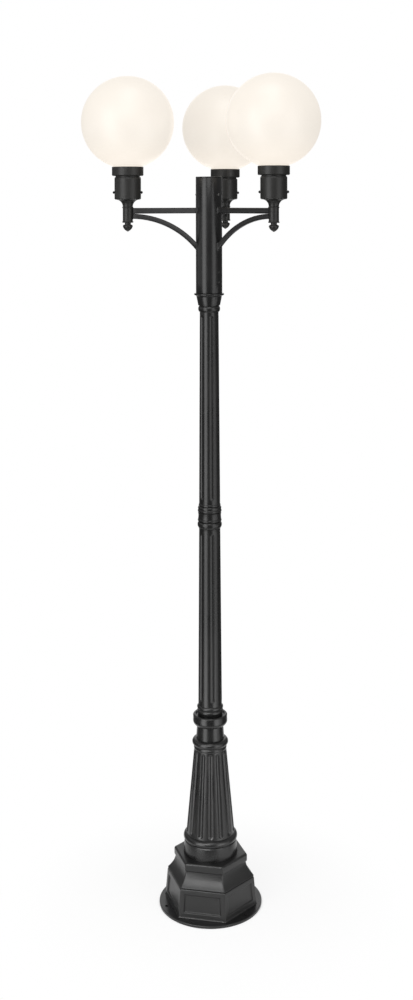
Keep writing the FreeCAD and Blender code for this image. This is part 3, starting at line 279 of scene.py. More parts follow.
pedestal_black = finish(
    "black_coat_on_pedestal",
    COAT_GLOSS,
    powder_coat((0.0055, 0.0055, 0.0056), (0.0105, 0.0104, 0.0102), ripple_depth=0.07, gloss=(0.34, 0.42)),
)

HALF_SIDE = math.radians(30.0)
FLAT_SHARE = math.cos(HALF_SIDE)
FAN_POINTS = 7
pedestal_low = 8.0
pedestal_high = 96.0
pedestal_foot = 155.7 * FLAT_SHARE
pedestal_head = 147.5 * FLAT_SHARE
pedestal_wall = 9.0
corner_blunt = 2.4
panel_border = 14.5
panel_bevel = 4.0
panel_depth = 4.0
lip_out = 1.6
lip_fade = 1.5
head_in = 1.8
head_fade = 1.3


def panelled_hexagon():
    """The pedestal: rows climb the flats, columns go round them and over the blunted corners.

    A point of a flat lies at the apothem less the panel's depth, which is depth times the smoothstep of
    its distance inside the panel's border over the bevel. The apothem grows by a lip at the foot and
    shrinks at the head, both fading as exp(-distance / fade).
    """
    mouth = panel_border + np.array([-5.0, -0.6, 0.0, 0.5, 1.2, 1.75, 2.3, 3.0, 3.5, 4.1, 9.0])
    rise = np.concatenate(([0.0, 0.7, 1.4, 2.2, 3.2, 5.0], mouth, [40.0]))
    tall = pedestal_high - pedestal_low
    rise = np.concatenate((rise, tall - rise[::-1]))
    foot_lip = lip_out * np.exp(-rise / lip_fade)
    head_ease = head_in * np.exp((rise - tall) / head_fade)
    apothem = pedestal_foot + (pedestal_head - pedestal_foot) * rise / tall + foot_lip - head_ease
    half = apothem / FLAT_SHARE / 2
    inset = np.concatenate(([corner_blunt * math.tan(HALF_SIDE)], mouth))
    across = np.hstack((inset - half[:, None], half[:, None] - inset[::-1]))
    end_gap = np.minimum(rise, tall - rise)[:, None]
    inside = np.minimum(half[:, None] - np.abs(across), end_gap) - panel_border
    step = np.clip(inside / panel_bevel, 0, 1)
    sunk = panel_depth * step * step * (3 - 2 * step)
    fan = np.linspace(-HALF_SIDE, HALF_SIDE, FAN_POINTS)[1:-1]
    sides = []
    for side in range(6):
        normal = (2 * side + 1) * HALF_SIDE
        out = apothem[:, None] - sunk
        flat_x = out * math.cos(normal) - across * math.sin(normal)
        flat_y = out * math.sin(normal) + across * math.cos(normal)
        corner = normal + HALF_SIDE
        reach = (apothem[:, None] - corner_blunt) / FLAT_SHARE
        fan_x = reach * math.cos(corner) + corner_blunt * np.cos(corner + fan)
        fan_y = reach * math.sin(corner) + corner_blunt * np.sin(corner + fan)
        sides.append(np.dstack((np.hstack((flat_x, fan_x)), np.hstack((flat_y, fan_y)))))
    ring = np.hstack(sides + [sides[0][:, :1]])
    height = np.broadcast_to((pedestal_low + rise)[:, None, None], (*ring.shape[:2], 1))
    outside = np.dstack((ring, height))
    hollow = 1 - pedestal_wall / pedestal_foot
    inside_foot = outside[:1] * (hollow, hollow, 1)
    inside_head = outside[-1:] * (hollow, hollow, 1)
    return np.vstack((inside_foot, outside, inside_head, inside_foot))


piece("pedestal_casting", pedestal_black, "black_casting", "post", ["hex_pedestal"], panelled_hexagon())

# Pedestal cap
# Hexagonal casting with blunt corners and a soft cove under a flat slab, in the same black coat.
# It sits on the pedestal, bolted up from inside, and a dark seam shows between the two.


def six_sided(profile, blunt):
    """A moulding with six flats: each corner is a fan of radius blunt about its own corner line."""
    corner = np.arange(6) * 2 * HALF_SIDE
    fan = np.linspace(-HALF_SIDE, HALF_SIDE, FAN_POINTS)
    turn = np.append((corner[:, None] + fan).ravel(), corner[0] + fan[0])
    line = np.append(np.repeat(corner, fan.size), corner[0])
    reach = (profile[:, :1] - blunt) / FLAT_SHARE
    x = reach * np.cos(line) + blunt * np.cos(turn)
    y = reach * np.sin(line) + blunt * np.sin(turn)
    return np.dstack((x, y, np.broadcast_to(profile[:, 1:], x.shape)))


cap_foot = 147.5 * FLAT_SHARE
cap_slab = 125.0 * FLAT_SHARE
cap_neck = 120.8 * FLAT_SHARE
cap_waist = 129.8 * FLAT_SHARE
cap_blunt = 7.0
cap_profile = course(
    (91.5, 96.1),
    (cap_foot - 5.0, 96.1),
    (cap_foot - 5.0, 98.8),
    (cap_foot, 98.8),
    (cap_foot - 0.4, 100.6),
    (cap_waist, 120.5, -0.03),
    (cap_neck, 143.5, -0.055),
    (cap_slab, 148.5, 0.1),
    (cap_slab, 164.5),
    (cap_slab - 6.5, 171.0, QUARTER_BOW),
    (40.0, 171.0),
    (40.0, 163.0),
    (91.5, 163.0),
    (91.5, 96.1),
    ease=0.9,
)
piece(
    "pedestal_cap_casting",
    pedestal_black,
    "black_casting",
    "post",
    ["pedestal_cap"],
    six_sided(cap_profile, cap_blunt),
)

# Fluted cone
# One hollow casting: drum, torus, a cone with fourteen round flutes, a bead and a heavy ring.
# It is bolted to the cap from below. The flutes' edges are softened by the coat.


def round_axis(radius, turn, height, centre=(0.0, 0.0)):
    """Points round an upright axis: x = cx + r cos t, y = cy + r sin t."""
    x = centre[0] + radius * np.cos(turn)
    y = centre[1] + radius * np.sin(turn)
    return np.dstack((x, y, np.broadcast_to(height, x.shape)))


def turned(profile, columns=96, centre=(0.0, 0.0)):
    """A profile turned about an upright axis."""
    return round_axis(profile[:, :1], np.linspace(0, 2 * np.pi, columns + 1), profile[:, 1:], centre)


def fluted(profile, outside, count, first, low, high, depth, columns):
    """A turned surface with round, ball-ended flutes.

    low and high give (height, radius, width) where each flute's end balls are centred. Between them a ball
    of radius B has its centre at C = R - depth + B from the axis, so that the cut lies at
    C cos d - sqrt(B^2 - v^2 - C^2 sin^2 d), d being the angle from the flute and v the way past its end.
    Where that is under the surface the radius follows it, with a soft edge.
    """
    soft_edge = 0.35
    fade_past = 4.0
    turn = np.linspace(0, 2 * np.pi, columns + 1)
    radius = profile[:, :1]
    height = profile[:, 1:]
    share = np.clip((height - low[0]) / (high[0] - low[0]), 0, 1)
    past = np.maximum(low[0] - height, height - high[0]).clip(0)
    surface = low[1] + (high[1] - low[1]) * share
    half = (low[2] + (high[2] - low[2]) * share) / 2
    under_chord = depth - (surface - np.sqrt(surface ** 2 - half ** 2))
    ball = (half ** 2 + under_chord ** 2) / (2 * under_chord)
    centre = surface - depth + ball
    pitch = 2 * np.pi / count
    off = (turn - math.radians(first) + pitch / 2) % pitch - pitch / 2
    room = ball ** 2 - past ** 2 - (centre * np.sin(off)) ** 2
    sunk = surface - centre * np.cos(off) + np.sqrt(np.maximum(room, 0))
    sunk = (sunk + np.sqrt(sunk ** 2 + soft_edge ** 2)) / 2
    faded = np.sqrt(np.clip(1 - past / (half + fade_past), 0, 1))
    return round_axis(radius - np.where(outside[:, None], sunk * faded, 0), turn, height)


def ladder(low, high, reach, fine, coarse):
    """Heights from low to high, close together for a reach at each end."""
    return np.concatenate((
        np.linspace(low, low + reach, fine),
        np.linspace(low + reach, high - reach, coarse)[1:-1],
        np.linspace(high - reach, high, fine),
    ))


def joined(*runs):
    """Runs of profile in one, each given as (points, fluted), and a mark on the points with flutes."""
    profile = np.vstack([points for points, _ in runs])
    marks = [np.full(len(points), fluted_run) for points, fluted_run in runs]
    return profile, np.concatenate(marks)


cast_black = finish(
    "black_coat_on_casting",
    COAT_GLOSS,
    powder_coat((0.0055, 0.0055, 0.0056), (0.0105, 0.0104, 0.0102), ripple_depth=0.07),
)
cone_low = 236.0
cone_high = 514.0
cone_foot = 80.0
cone_top = 53.7
cone_flutes = 14
cone_flute_turn = 0.0
cone_flute_depth = 4.0
cone_flute_columns = 26
flute_foot = 12.5
flute_top = 11.0
flute_foot_wide = 17.0
flute_top_wide = 14.0
level_gap = 0.5
cone_slope = (cone_top - cone_foot) / (cone_high - cone_low)
cone_levels = ladder(cone_low + level_gap, cone_high - level_gap, reach=26.0, fine=40, coarse=8)
cone_surface = np.column_stack((cone_foot + cone_slope * (cone_levels - cone_low), cone_levels))
drum_profile = course(
    (72.5, 179.0),
    (40.0, 179.0),
    (40.0, 171.1),
    (90.0, 171.1),
    (86.5, 210.8),
    (84.8, 213.2),
    (77.5, 235.7, 0.34),
    (78.6, 236.0),
    (cone_foot, cone_low),
    ease=0.8,
)
ring_profile = course(
    (cone_top, cone_high),
    (cone_top, 523.0, 0.12),
    (52.6, 524.6),
    (54.2, 526.0),
    (48.0, 547.7, 0.39),
    (46.9, 548.0),
    (34.1, 548.0),
    (34.1, 508.0),
    (46.2, 508.0),
    (72.5, 236.0),
    (72.5, 179.0),
    ease=0.6,
)
cone_profile, cone_outside = joined((drum_profile, False), (cone_surface, True), (ring_profile, False))
cone_mesh = fluted(
    cone_profile,
    cone_outside,
    cone_flutes,
    cone_flute_turn,
    (cone_low + flute_foot, cone_foot + cone_slope * flute_foot, flute_foot_wide),
    (cone_high - flute_top, cone_top - cone_slope * flute_top, flute_top_wide),
    cone_flute_depth,
    cone_flutes * cone_flute_columns,
)
piece("cone_casting", cast_black, "black_casting", "post", ["fluted_cone"], cone_mesh)

# Shaft cup
# Turned casting with an open trough and a thick rim with a step inside, black.
# Its spigots stand in the cone below and in the shaft above.

cup_profile = course(
    (20.0, 508.1),
    (34.0, 508.1),
    (34.0, 548.1),
    (46.8, 548.1),
    (44.0, 591.0),
    (57.0, 611.0, QUARTER_BOW),
    (57.0, 625.5),
    (47.2, 626.2, 0.3),
    (46.8, 623.4),
    (41.2, 623.0),
    (41.2, 617.0),
    (27.9, 617.0),
    (27.9, 657.0),
    (20.0, 657.0),
    (20.0, 508.1),
    ease=0.7,
)
piece("shaft_cup_casting", cast_black, "black_casting", "post", ["shaft_cup"], turned(cup_profile, 112))

# Lower shaft
# Tapered aluminium tube with six long round flutes and a foot of two rings, black.
# It stands over the cup's spigot.

shaft_flutes = 6
shaft_flute_columns = 44
flute_depth = 3.0
flute_wide = 14.0
flute_foot_gap = 23.0
flute_top_gap = 18.0
flute_turn = -5.0
surface_gap = 0.3


def shaft(foot_radius, top_radius, low, high, below, above):
    """A fluted shaft between two heights, with the profile that comes before and after its surface."""
    slope = (top_radius - foot_radius) / (high - low)
    levels = ladder(low + surface_gap, high - surface_gap, reach=36.0, fine=52, coarse=10)
    surface = np.column_stack((foot_radius + slope * (levels - low), levels))
    profile, outside = joined((below, False), (surface, True), (above, False))
    ends = [
        (level, foot_radius + slope * (level - low), flute_wide)
        for level in (low + flute_foot_gap, high - flute_top_gap)
    ]
    columns = shaft_flutes * shaft_flute_columns
    return fluted(profile, outside, shaft_flutes, flute_turn, *ends, flute_depth, columns)


lower_foot = course(
    (28.0, 617.1),
    (40.5, 617.1),
    (40.5, 632.0),
    (40.5, 645.5, 0.222),
    (39.5, 659.0, 0.26),
    ease=0.5,
)
lower_head = course((35.5, 1244.0), (28.0, 1244.0), (28.0, 617.1), ease=0.5)
piece(
    "lower_shaft_tube",
    cast_black,
    "black_casting",
    "post",
    ["lower_shaft"],
    shaft(39.5, 35.5, 659.0, 1244.0, lower_foot, lower_head),
)

# Shaft coupling
# Turned piece with two beads, a waist and two more beads parted by fine cut lines, black.
# A spigot at each end holds the two shafts in line.

coupling_profile = course(
    (20.0, 1204.0),
    (27.9, 1204.0),
    (27.9, 1244.1),
    (35.5, 1244.1),
    (36.0, 1248.2),
    (34.6, 1249.4),
    (37.2, 1251.0),
    (38.6, 1269.6, 0.15),
    (35.6, 1271.2),
    (38.6, 1272.6),
    (38.2, 1280.0, 0.2),
    (39.0, 1280.4),
    (39.0, 1301.0, -0.055),
    (36.2, 1302.6),
    (38.6, 1304.0),
    (38.2, 1312.0, 0.2),
    (37.4, 1322.0, 0.12),
    (34.6, 1323.6),
    (36.6, 1325.0),
    (35.2, 1331.0, 0.1),
    (24.9, 1331.0),
    (24.9, 1371.0),
    (20.0, 1371.0),
    (20.0, 1204.0),
    ease=0.5,
)
piece("coupling_casting", cast_black, "black_casting", "post", ["shaft_coupling"], turned(coupling_profile))

# Upper shaft
# The slimmer fluted tube, with a ring round its top, black.
# It stands over the coupling's spigot.

upper_foot = course((25.0, 1331.1), (35.2, 1331.1))
upper_head = course(
    (31.5, 1971.0),
    (34.15, 1973.65),
    (34.15, 1991.0, 0.153),
    (25.0, 1991.0),
    (25.0, 1331.1),
    ease=0.5,
)
piece(
    "upper_shaft_tube",
    cast_black,
    "black_casting",
    "post",
    ["upper_shaft"],
    shaft(35.2, 31.5, 1331.0, 1971.0, upper_foot, upper_head),
)

# Head socket
# Flared casting with a rolled lip, black. Its spigot stands in the upper shaft,
# and the head turns on the tall tenon above the lip.

socket_profile = course(
    (20.0, 1951.0),
    (24.9, 1951.0),
    (24.9, 1991.1),
    (33.4, 1991.1),
    (33.4, 1993.2),
    (36.7, 1993.8),
    (42.0, 2020.0),
    (48.8, 2028.0, -QUARTER_BOW),
    (50.0, 2031.0, QUARTER_BOW),
    (48.8, 2033.9, QUARTER_BOW),
    (39.9, 2033.9),
    (39.9, 2119.0),
    (33.9, 2119.0),
    (33.9, 2034.0),
    (20.0, 2028.0),
    (20.0, 1951.0),
    ease=0.8,
)
piece("head_socket_casting", cast_black, "black_casting", "post", ["head_socket"], turned(socket_profile))

# Head column
# Plain steel tube with a flat cap, black. Two rows of set screws in small sinks clamp it to the tenon,
# and three round-head screws hold the cap's plug. The screws are blackened steel with hex sockets.

ARM_ANGLES = (90.0, 210.0, 330.0)
column_radius = 44.2
column_bore = 40.0
column_low = 2034.0
column_high = 2420.0
set_screw_levels = (2072.0, 2105.0)
sink_wide = 4.6
sink_deep = 1.1


def sunk_column():
    """The tube, with a flat-bottomed conical sink of radius w and depth d round each set screw.

    The surface lies d times slope times (1 - distance / w) deep there, and d at most.
    """
    sink_slope = 1.6
    edge_round = 0.8
    edge_fade = 0.5
    edge_rows = np.array((0.0, 0.4, 1.2))
    near = np.linspace(-1.3, 1.3, 27) * sink_wide
    levels = np.concatenate((
        column_low + edge_rows,
        *[level + near for level in set_screw_levels],
        (2200.0, 2300.0),
        column_high - edge_rows[::-1],
    ))
    eased_edge = edge_round * np.exp(-np.minimum(levels - column_low, column_high - levels) / edge_fade)
    span = np.concatenate((near / column_radius, np.linspace(0.2, 1.9, 24)))
    turn = np.concatenate([math.radians(angle) + span for angle in ARM_ANGLES])
    turn = np.append(turn, turn[0] + 2 * np.pi)
    pitch = 2 * np.pi / len(ARM_ANGLES)
    off = ((turn - math.radians(ARM_ANGLES[0]) + pitch / 2) % pitch - pitch / 2) * column_radius
    radius = (column_radius - eased_edge)[:, None] + 0 * turn
    for level in set_screw_levels:
        away = np.hypot(off, (levels - level)[:, None])
        radius = radius - sink_deep * np.clip(sink_slope * (1 - away / sink_wide), 0, 1)
    outside = round_axis(radius, turn, levels[:, None])
    hollow = np.array((column_bore / column_radius, column_bore / column_radius, 1.0))
    return np.vstack((outside[:1] * hollow, outside, outside[-1:] * hollow, outside[:1] * hollow))


tube_black = finish(
    "black_coat_on_tube",
    COAT_GLOSS,
    powder_coat((0.0060, 0.0060, 0.0062), (0.0100, 0.0100, 0.0102), ripple_depth=0.05),
)
piece("head_column_tube", tube_black, "black_casting", "head", ["head_column"], sunk_column())

column_cap_profile = course(
    (0.0, 2419.0),
    (34.9, 2419.0),
    (34.9, 2355.0),
    (39.9, 2355.0),
    (39.9, 2420.1),
    (44.2, 2420.1),
    (44.2, 2422.5),
    (42.7, 2424.0, QUARTER_BOW),
    (0.0, 2424.0),
    ease=0.4,
)
piece("column_cap_disc", tube_black, "black_casting", "head", ["column_cap"], turned(column_cap_profile))


def aimed(grid, angle, lift, centre=(0.0, 0.0)):
    """An upright piece laid so that its axis points level at an angle, at a height and from a centre."""
    turn = math.radians(angle)
    x = centre[0] + grid[..., 2] * math.cos(turn) - grid[..., 0] * math.sin(turn)
    y = centre[1] + grid[..., 2] * math.sin(turn) + grid[..., 0] * math.cos(turn)
    return np.stack((x, y, lift + grid[..., 1]), axis=-1)


def hex_socketed(profile, key, columns=48):
    """A turned screw. Its rows with a radius below zero follow a hexagon of that share of the key."""
    turn = np.linspace(0, 2 * np.pi, columns + 1)
    six = key / np.cos((turn + np.pi / 6) % (np.pi / 3) - np.pi / 6)
    radius = np.where(profile[:, :1] < 0, -profile[:, :1] * six, profile[:, :1])
    return round_axis(radius, turn, profile[:, 1:])


socket_steel = finish(
    "blackened_socket_screws",
    {"Metallic": 1.0},
    turned_metal((0.11, 0.11, 0.11), (0.17, 0.17, 0.16), gloss=(0.30, 0.45)),
)
hex_key = 1.5
cap_screw_level = 2364.0
set_screw = np.array([
    (0.0, 40.3), (2.9, 40.3), (2.95, 40.4), (2.95, 43.1), (2.85, 43.4), (2.6, 43.6),
    (-1.12, 43.6), (-1.0, 43.45), (-1.0, 41.6), (-0.6, 41.4), (0.0, 41.1),
])
set_screw_grids = [
    aimed(hex_socketed(set_screw, hex_key), angle, level)
    for angle in ARM_ANGLES
    for level in set_screw_levels
]
piece("column_set_screw_set", socket_steel, "black_screws", "head", ["column_set_screws"], *set_screw_grids)

cap_screw = np.array([
    (0.0, 35.8), (2.3, 35.8), (2.5, 36.0), (2.5, 44.25), (4.3, 44.25), (4.5, 44.45), (4.42, 45.0),
    (4.1, 45.6), (3.5, 46.2), (2.8, 46.6), (-1.1, 46.75), (-1.0, 46.6), (-1.0, 45.4), (0.0, 45.1),
])
cap_screw_grids = [aimed(hex_socketed(cap_screw, hex_key), angle, cap_screw_level) for angle in ARM_ANGLES]
piece("cap_screw_set", socket_steel, "black_screws", "head", ["cap_screws"], *cap_screw_grids)

# Arms
# Three level rectangular tubes with rounded corners, black, let into the column and coped to the hubs.
# Each end is welded, and the coat rounds the weld into a small cove.

arm_reach = 280.0
arm_level = 2311.0
arm_wide = 14.0
arm_tall = 19.0
bar_corner = 4.0
bar_tuck = 3.0
hub_radius = 16.6
weld = 3.2
QUARTER = np.radians(np.linspace(0, 90, 7))


def bar_section(wide, tall, corner):
    """Corner centres and directions round a rounded rectangle: a point is centre + corner * direction."""
    turn = (QUARTER + np.radians((0.0, 90.0, 180.0, 270.0))[:, None]).ravel()
    side = np.repeat((1.0, -1.0, -1.0, 1.0), QUARTER.size) * (wide / 2 - corner)
    level = np.repeat((1.0, 1.0, -1.0, -1.0), QUARTER.size) * (tall / 2 - corner)
    closed = np.append(np.arange(turn.size), 0)
    return side[closed], level[closed], np.cos(turn)[closed], np.sin(turn)[closed]


def weld_rows(span):
    """Shares of a bar's span, and how far the weld's cove swells it there: w - sqrt(w^2 - (w - e)^2)."""
    cove_rows = 8
    middle = np.linspace(0.06, 0.94, 14)
    near = weld * (1 - np.cos(np.linspace(0, np.pi / 2, cove_rows)))
    along = np.concatenate((near, middle * span, span - near[::-1]))
    end_gap = np.minimum(np.minimum(along, span - along), weld)
    return along / span, weld - np.sqrt(weld ** 2 - (weld - end_gap) ** 2)


def swung(grid, angle):
    """A piece drawn along +X, swung round the post to its arm's angle."""
    turn = math.radians(angle)
    x = grid[..., 0] * math.cos(turn) - grid[..., 1] * math.sin(turn)
    y = grid[..., 0] * math.sin(turn) + grid[..., 1] * math.cos(turn)
    return np.stack((x, y, grid[..., 2]), axis=-1)


def closed_ends(rows, first, last):
    """Rows of a bar with a point at each end that closes it inside what it is welded to."""
    width = rows.shape[1]
    caps = [np.broadcast_to(np.array(point, float), (1, width, 3)) for point in (first, last)]
    return np.vstack((caps[0], rows, caps[1]))


def welded_arm():
    """An arm along +X, each line of it from the column's surface to the hub's.

    A line starts at x = sqrt(R^2 - y^2) and ends at x = L - sqrt(r^2 - y^2).
    """
    side, level, out_y, out_z = bar_section(arm_wide, arm_tall, bar_corner)
    share, swell = weld_rows(arm_reach - column_radius - hub_radius)
    y = side + (bar_corner + swell[:, None]) * out_y
    z = arm_level + level + (bar_corner + swell[:, None]) * out_z
    start = np.sqrt(column_radius ** 2 - y ** 2)
    end = arm_reach - np.sqrt(hub_radius ** 2 - y ** 2)
    x = start + (end - start) * share[:, None]
    first = (column_radius - bar_tuck, 0, arm_level)
    last = (arm_reach - hub_radius + bar_tuck, 0, arm_level)
    return closed_ends(np.dstack((x, y, z)), first, last)


for number, angle in enumerate(ARM_ANGLES, start=1):
    arm_grid = swung(welded_arm(), angle)
    piece(f"arm_bar_{number}", tube_black, "black_casting", "head", [f"arm_{number}"], arm_grid)

# Braces
# Three bars bent to an even curve, black. Each leaves its hub level under the arm,
# runs down to the column and is welded at both ends.

brace_radius = 300.0
brace_wide = 12.5
brace_tall = 17.0
brace_drop = 18.0
brace_lead = 6.0
brace_tuck = 5.0
brace_start = arm_reach - hub_radius
brace_level = arm_level - brace_drop


def welded_brace():
    """Lines of the bar are arcs about one centre, from the hub's surface to the column's.

    A line at radius R from the centre is at x = cx - R sin a, z = cz + R cos a,
    and ends where x = sqrt(C^2 - y^2).
    """
    side, level, out_y, out_z = bar_section(brace_wide, brace_tall, bar_corner)
    centre_x = brace_start + brace_lead
    centre_z = brace_level - brace_radius
    share, swell = weld_rows(brace_radius)
    y = side + (bar_corner + swell[:, None]) * out_y
    radius = brace_radius + level + (bar_corner + swell[:, None]) * out_z
    first = np.arcsin((centre_x - arm_reach + np.sqrt(hub_radius ** 2 - y ** 2)) / radius)
    last = np.arcsin((centre_x - np.sqrt(column_radius ** 2 - y ** 2)) / radius)
    bend = first + (last - first) * share[:, None]
    rows = np.dstack((centre_x - radius * np.sin(bend), y, centre_z + radius * np.cos(bend)))
    foot = rows[-1].mean(axis=0) - (brace_tuck, 0, 0)
    return closed_ends(rows, (brace_start + bar_tuck, 0, brace_level), foot)[:, ::-1]


for number, angle in enumerate(ARM_ANGLES, start=1):
    brace_grid = swung(welded_brace(), angle)
    piece(f"brace_bar_{number}", tube_black, "black_casting", "head", [f"brace_{number}"], brace_grid)

# Lamp stems: hubs, finials and bells
# Turned pieces in the same black, clamped on one threaded nipple: the bud below, the beaded hub
# that the arm is welded to, and the bell that carries the fitter cup.

LAMP_CENTRES = [
    (arm_reach * math.cos(turn), arm_reach * math.sin(turn)) for turn in map(math.radians, ARM_ANGLES)
]
hub_profile = course(
    (9.0, 2272.1),
    (hub_radius, 2272.1),
    (hub_radius, 2272.5),
    (hub_radius, 2276.5, 0.5),
    (hub_radius, 2320.1),
    (hub_radius, 2324.1, 0.5),
    (hub_radius, 2324.5),
    (9.0, 2324.5),
    (9.0, 2272.1),
    ease=0.4,
)
finial_profile = course(
    (0.0, 2243.0),
    (3.0, 2244.5, 0.12),
    (16.4, 2261.0, 0.12),
    (10.0, 2266.0, QUARTER_BOW),
    (10.0, 2272.0),
    (5.1, 2272.0),
    (5.1, 2259.9),
    (0.0, 2259.9),
    ease=0.5,
)
bell_profile = course(
    (5.1, 2324.6),
    (16.6, 2324.6),
    (16.6, 2326.5),
    (41.0, 2348.0, -QUARTER_BOW),
    (41.0, 2349.4),
    (5.1, 2349.4),
    (5.1, 2324.6),
    ease=0.5,
)
lamp_black = finish(
    "black_coat_on_lamp_fittings",
    COAT_GLOSS,
    powder_coat((0.0066, 0.0064, 0.0058), (0.0112, 0.0109, 0.0098), ripple_depth=0.05, gloss=(0.40, 0.48)),
)
finial_grids = [turned(finial_profile, 72, centre) for centre in LAMP_CENTRES]
piece("finial_turnings", lamp_black, "black_casting", "head", ["finials"], *finial_grids)
for number, centre in enumerate(LAMP_CENTRES, start=1):
    for name, profile in (("hub", hub_profile), ("bell", bell_profile)):
        piece(
            f"{name}_turning_{number}",
            lamp_black,
            "black_casting",
            "head",
            [f"{name}_{number}"],
            turned(profile, 72, centre),
        )

# Nipples, leads and wire connectors
# Brass pipe thread through each stem, with the lampholder's lead inside it.
# The leads run along the arms into the column, where they end in wire connectors.

brass = finish(
    "brass",
    {"Metallic": 1.0},
    turned_metal((0.62, 0.43, 0.17), (0.74, 0.54, 0.24), gloss=(0.22, 0.36)),
)
dress(brass, "nipples", "screw_shells")


def moulded(first, second, gloss, grain_scale):
    """Moulded plastic, rubber or ceramic with a little unevenness in tone and gloss."""
    cloud_scale = 25.0
    grain_depth = 0.02

    def varied(wire):
        grain = wire.noise(grain_scale)
        cloud = wire.noise(cloud_scale)
        return {
            "Base Color": cloud.spread(0.0, 1.0).between(first, second),
            "Roughness": grain.spread(*gloss),
            "Normal": grain.bump(grain_depth),
        }

    return varied


lead_sheath = finish(
    "lead_sheath",
    {},
    moulded((0.55, 0.53, 0.48), (0.66, 0.64, 0.58), gloss=(0.40, 0.52), grain_scale=500.0),
)
dress(lead_sheath, "lamp_leads")
connector_plastic = finish(
    "connector_plastic",
    {},
    moulded((0.42, 0.10, 0.02), (0.52, 0.14, 0.03), gloss=(0.35, 0.48), grain_scale=600.0),
)
dress(connector_plastic, "wire_connectors")

# Fitter cups
# Spun cups in black, slightly drawn in at the top, clamped on the bells by the nipples' locknuts.
# Two opposite thumbscrews go through each wall.

thumb_level = 2371.5
fitter_profile = course(
    (5.1, 2349.5),
    (41.0, 2349.5),
    (43.4, 2351.9, QUARTER_BOW),
    (43.4, 2412.5),
    (42.2, 2421.4, 0.06),
    (40.4, 2421.4),
    (40.4, 2353.4),
    (5.1, 2353.4),
    (5.1, 2349.5),
    ease=0.6,
)
for number, centre in enumerate(LAMP_CENTRES, start=1):
    piece(
        f"fitter_cup_spun_{number}",
        lamp_black,
        "black_casting",
        "head",
        [f"fitter_cup_{number}"],
        turned(fitter_profile, 96, centre),
    )

# Thumbscrews
# Black screws with a domed head and a knurled skirt, two to each fitter cup.
# Their tips come up against the neck tube and keep the collar from lifting out.

THUMB_ANGLES = {"a": 12.0, "b": 192.0}
knurl_teeth = 18
knurl_depth = 0.35
skirt_low = 43.95
skirt_high = 45.1
thumb_profile = course(
    (0.0, 40.3),
    (1.8, 40.3),
    (2.0, 40.6),
    (2.0, 43.9),
    (4.6, 43.9),
    (4.8, 44.1),
    (4.8, 45.2),
    (0.0, 49.6, 0.16),
    ease=0.25,
)
screw_black = finish(
    "black_oxide_thumbscrews",
    {"Metallic": 1.0},
    turned_metal((0.006, 0.006, 0.006), (0.014, 0.014, 0.013), gloss=(0.42, 0.55)),
)


def knurled_thumbscrew():
    """A turned screw whose skirt is cut by n teeth of depth d: r - d (1 + cos(n t)) / 2."""
    tooth_columns = 6
    skirt_fade = 0.2
    shank_radius = 4.0
    turn = np.linspace(0, 2 * np.pi, knurl_teeth * tooth_columns + 1)
    radius = thumb_profile[:, :1]
    height = thumb_profile[:, 1:]
    inside = np.minimum(height - skirt_low, skirt_high - height)
    skirt = np.clip(inside / skirt_fade + 0.5, 0, 1) * (radius > shank_radius)
    tooth = knurl_depth * (1 + np.cos(knurl_teeth * turn)) / 2
    return round_axis(radius - skirt * tooth, turn, height)


for number, centre in enumerate(LAMP_CENTRES, start=1):
    for side, angle in THUMB_ANGLES.items():
        piece(
            f"thumbscrew_turning_{number}{side}",
            screw_black,
            "black_screws",
            f"thumbscrew_{number}{side}",
            [f"thumbscrew_{number}{side}"],
            aimed(knurled_thumbscrew(), angle, thumb_level, centre),
        )

# Lampholders, bulbs and gaskets
# Glazed porcelain holders screwed on the nipples, with brass shells and white bulbs, which stand
# inside the fitter cups and the globes. A rubber gasket lies under each globe's neck.

porcelain = finish(
    "holder_porcelain",
    {},
    moulded((0.78, 0.77, 0.73), (0.84, 0.83, 0.80), gloss=(0.12, 0.22), grain_scale=300.0),
)
bulb_white = finish(
    "bulb_white",
    {},
    moulded((0.82, 0.81, 0.79), (0.87, 0.86, 0.85), gloss=(0.30, 0.40), grain_scale=500.0),
)
gasket_rubber = finish(
    "gasket_rubber",
    {},
    moulded((0.012, 0.012, 0.012), (0.022, 0.022, 0.022), gloss=(0.60, 0.80), grain_scale=400.0),
)
for number in (1, 2, 3):
    dress(porcelain, f"lampholder_{number}")
    dress(bulb_white, f"bulb_{number}")
    dress(gasket_rubber, f"gasket_{number}")

# Collars
# Black rings with a rounded rim that hold the globes. A tube in each stands in the fitter cup,
# so that collar and globe lift off together for a new bulb.

collar_profile = course(
    (40.1, 2425.5),
    (47.9, 2425.5),
    (51.7, 2428.4, 0.1),
    (51.7, 2453.5),
    (49.7, 2455.5, QUARTER_BOW),
    (46.3, 2455.5),
    (46.3, 2429.6),
    (40.1, 2429.6),
    (40.1, 2425.5),
    ease=0.5,
)
neck_tube_profile = course(
    (36.0, 2353.6),
    (40.0, 2353.6),
    (40.0, 2429.4),
    (36.0, 2429.4),
    (36.0, 2353.6),
    ease=0.6,
)
for number, centre in enumerate(LAMP_CENTRES, start=1):
    piece(
        f"neck_tube_{number}_drawn",
        lamp_black,
        "black_casting",
        f"shade_{number}",
        [f"neck_tube_{number}"],
        turned(neck_tube_profile, 96, centre),
    )
    piece(
        f"collar_turning_{number}",
        lamp_black,
        "black_casting",
        f"shade_{number}",
        [f"collar_{number}"],
        turned(collar_profile, 96, centre),
    )

# Globes
# Opal shades, 305 mm across, blown with an open neck that stands on the gasket in the collar.
# The wall's own colour is a grey cream with a satin skin; its even cream white is a painted glow, an
# emission that stands in for even light on it and is painted brighter towards the neck.

globe_radius = 152.4
globe_wall = 3.0
globe_level = 2601.1
neck_radius = 46.0
neck_top = 2452.0
globe_foot = 2431.7


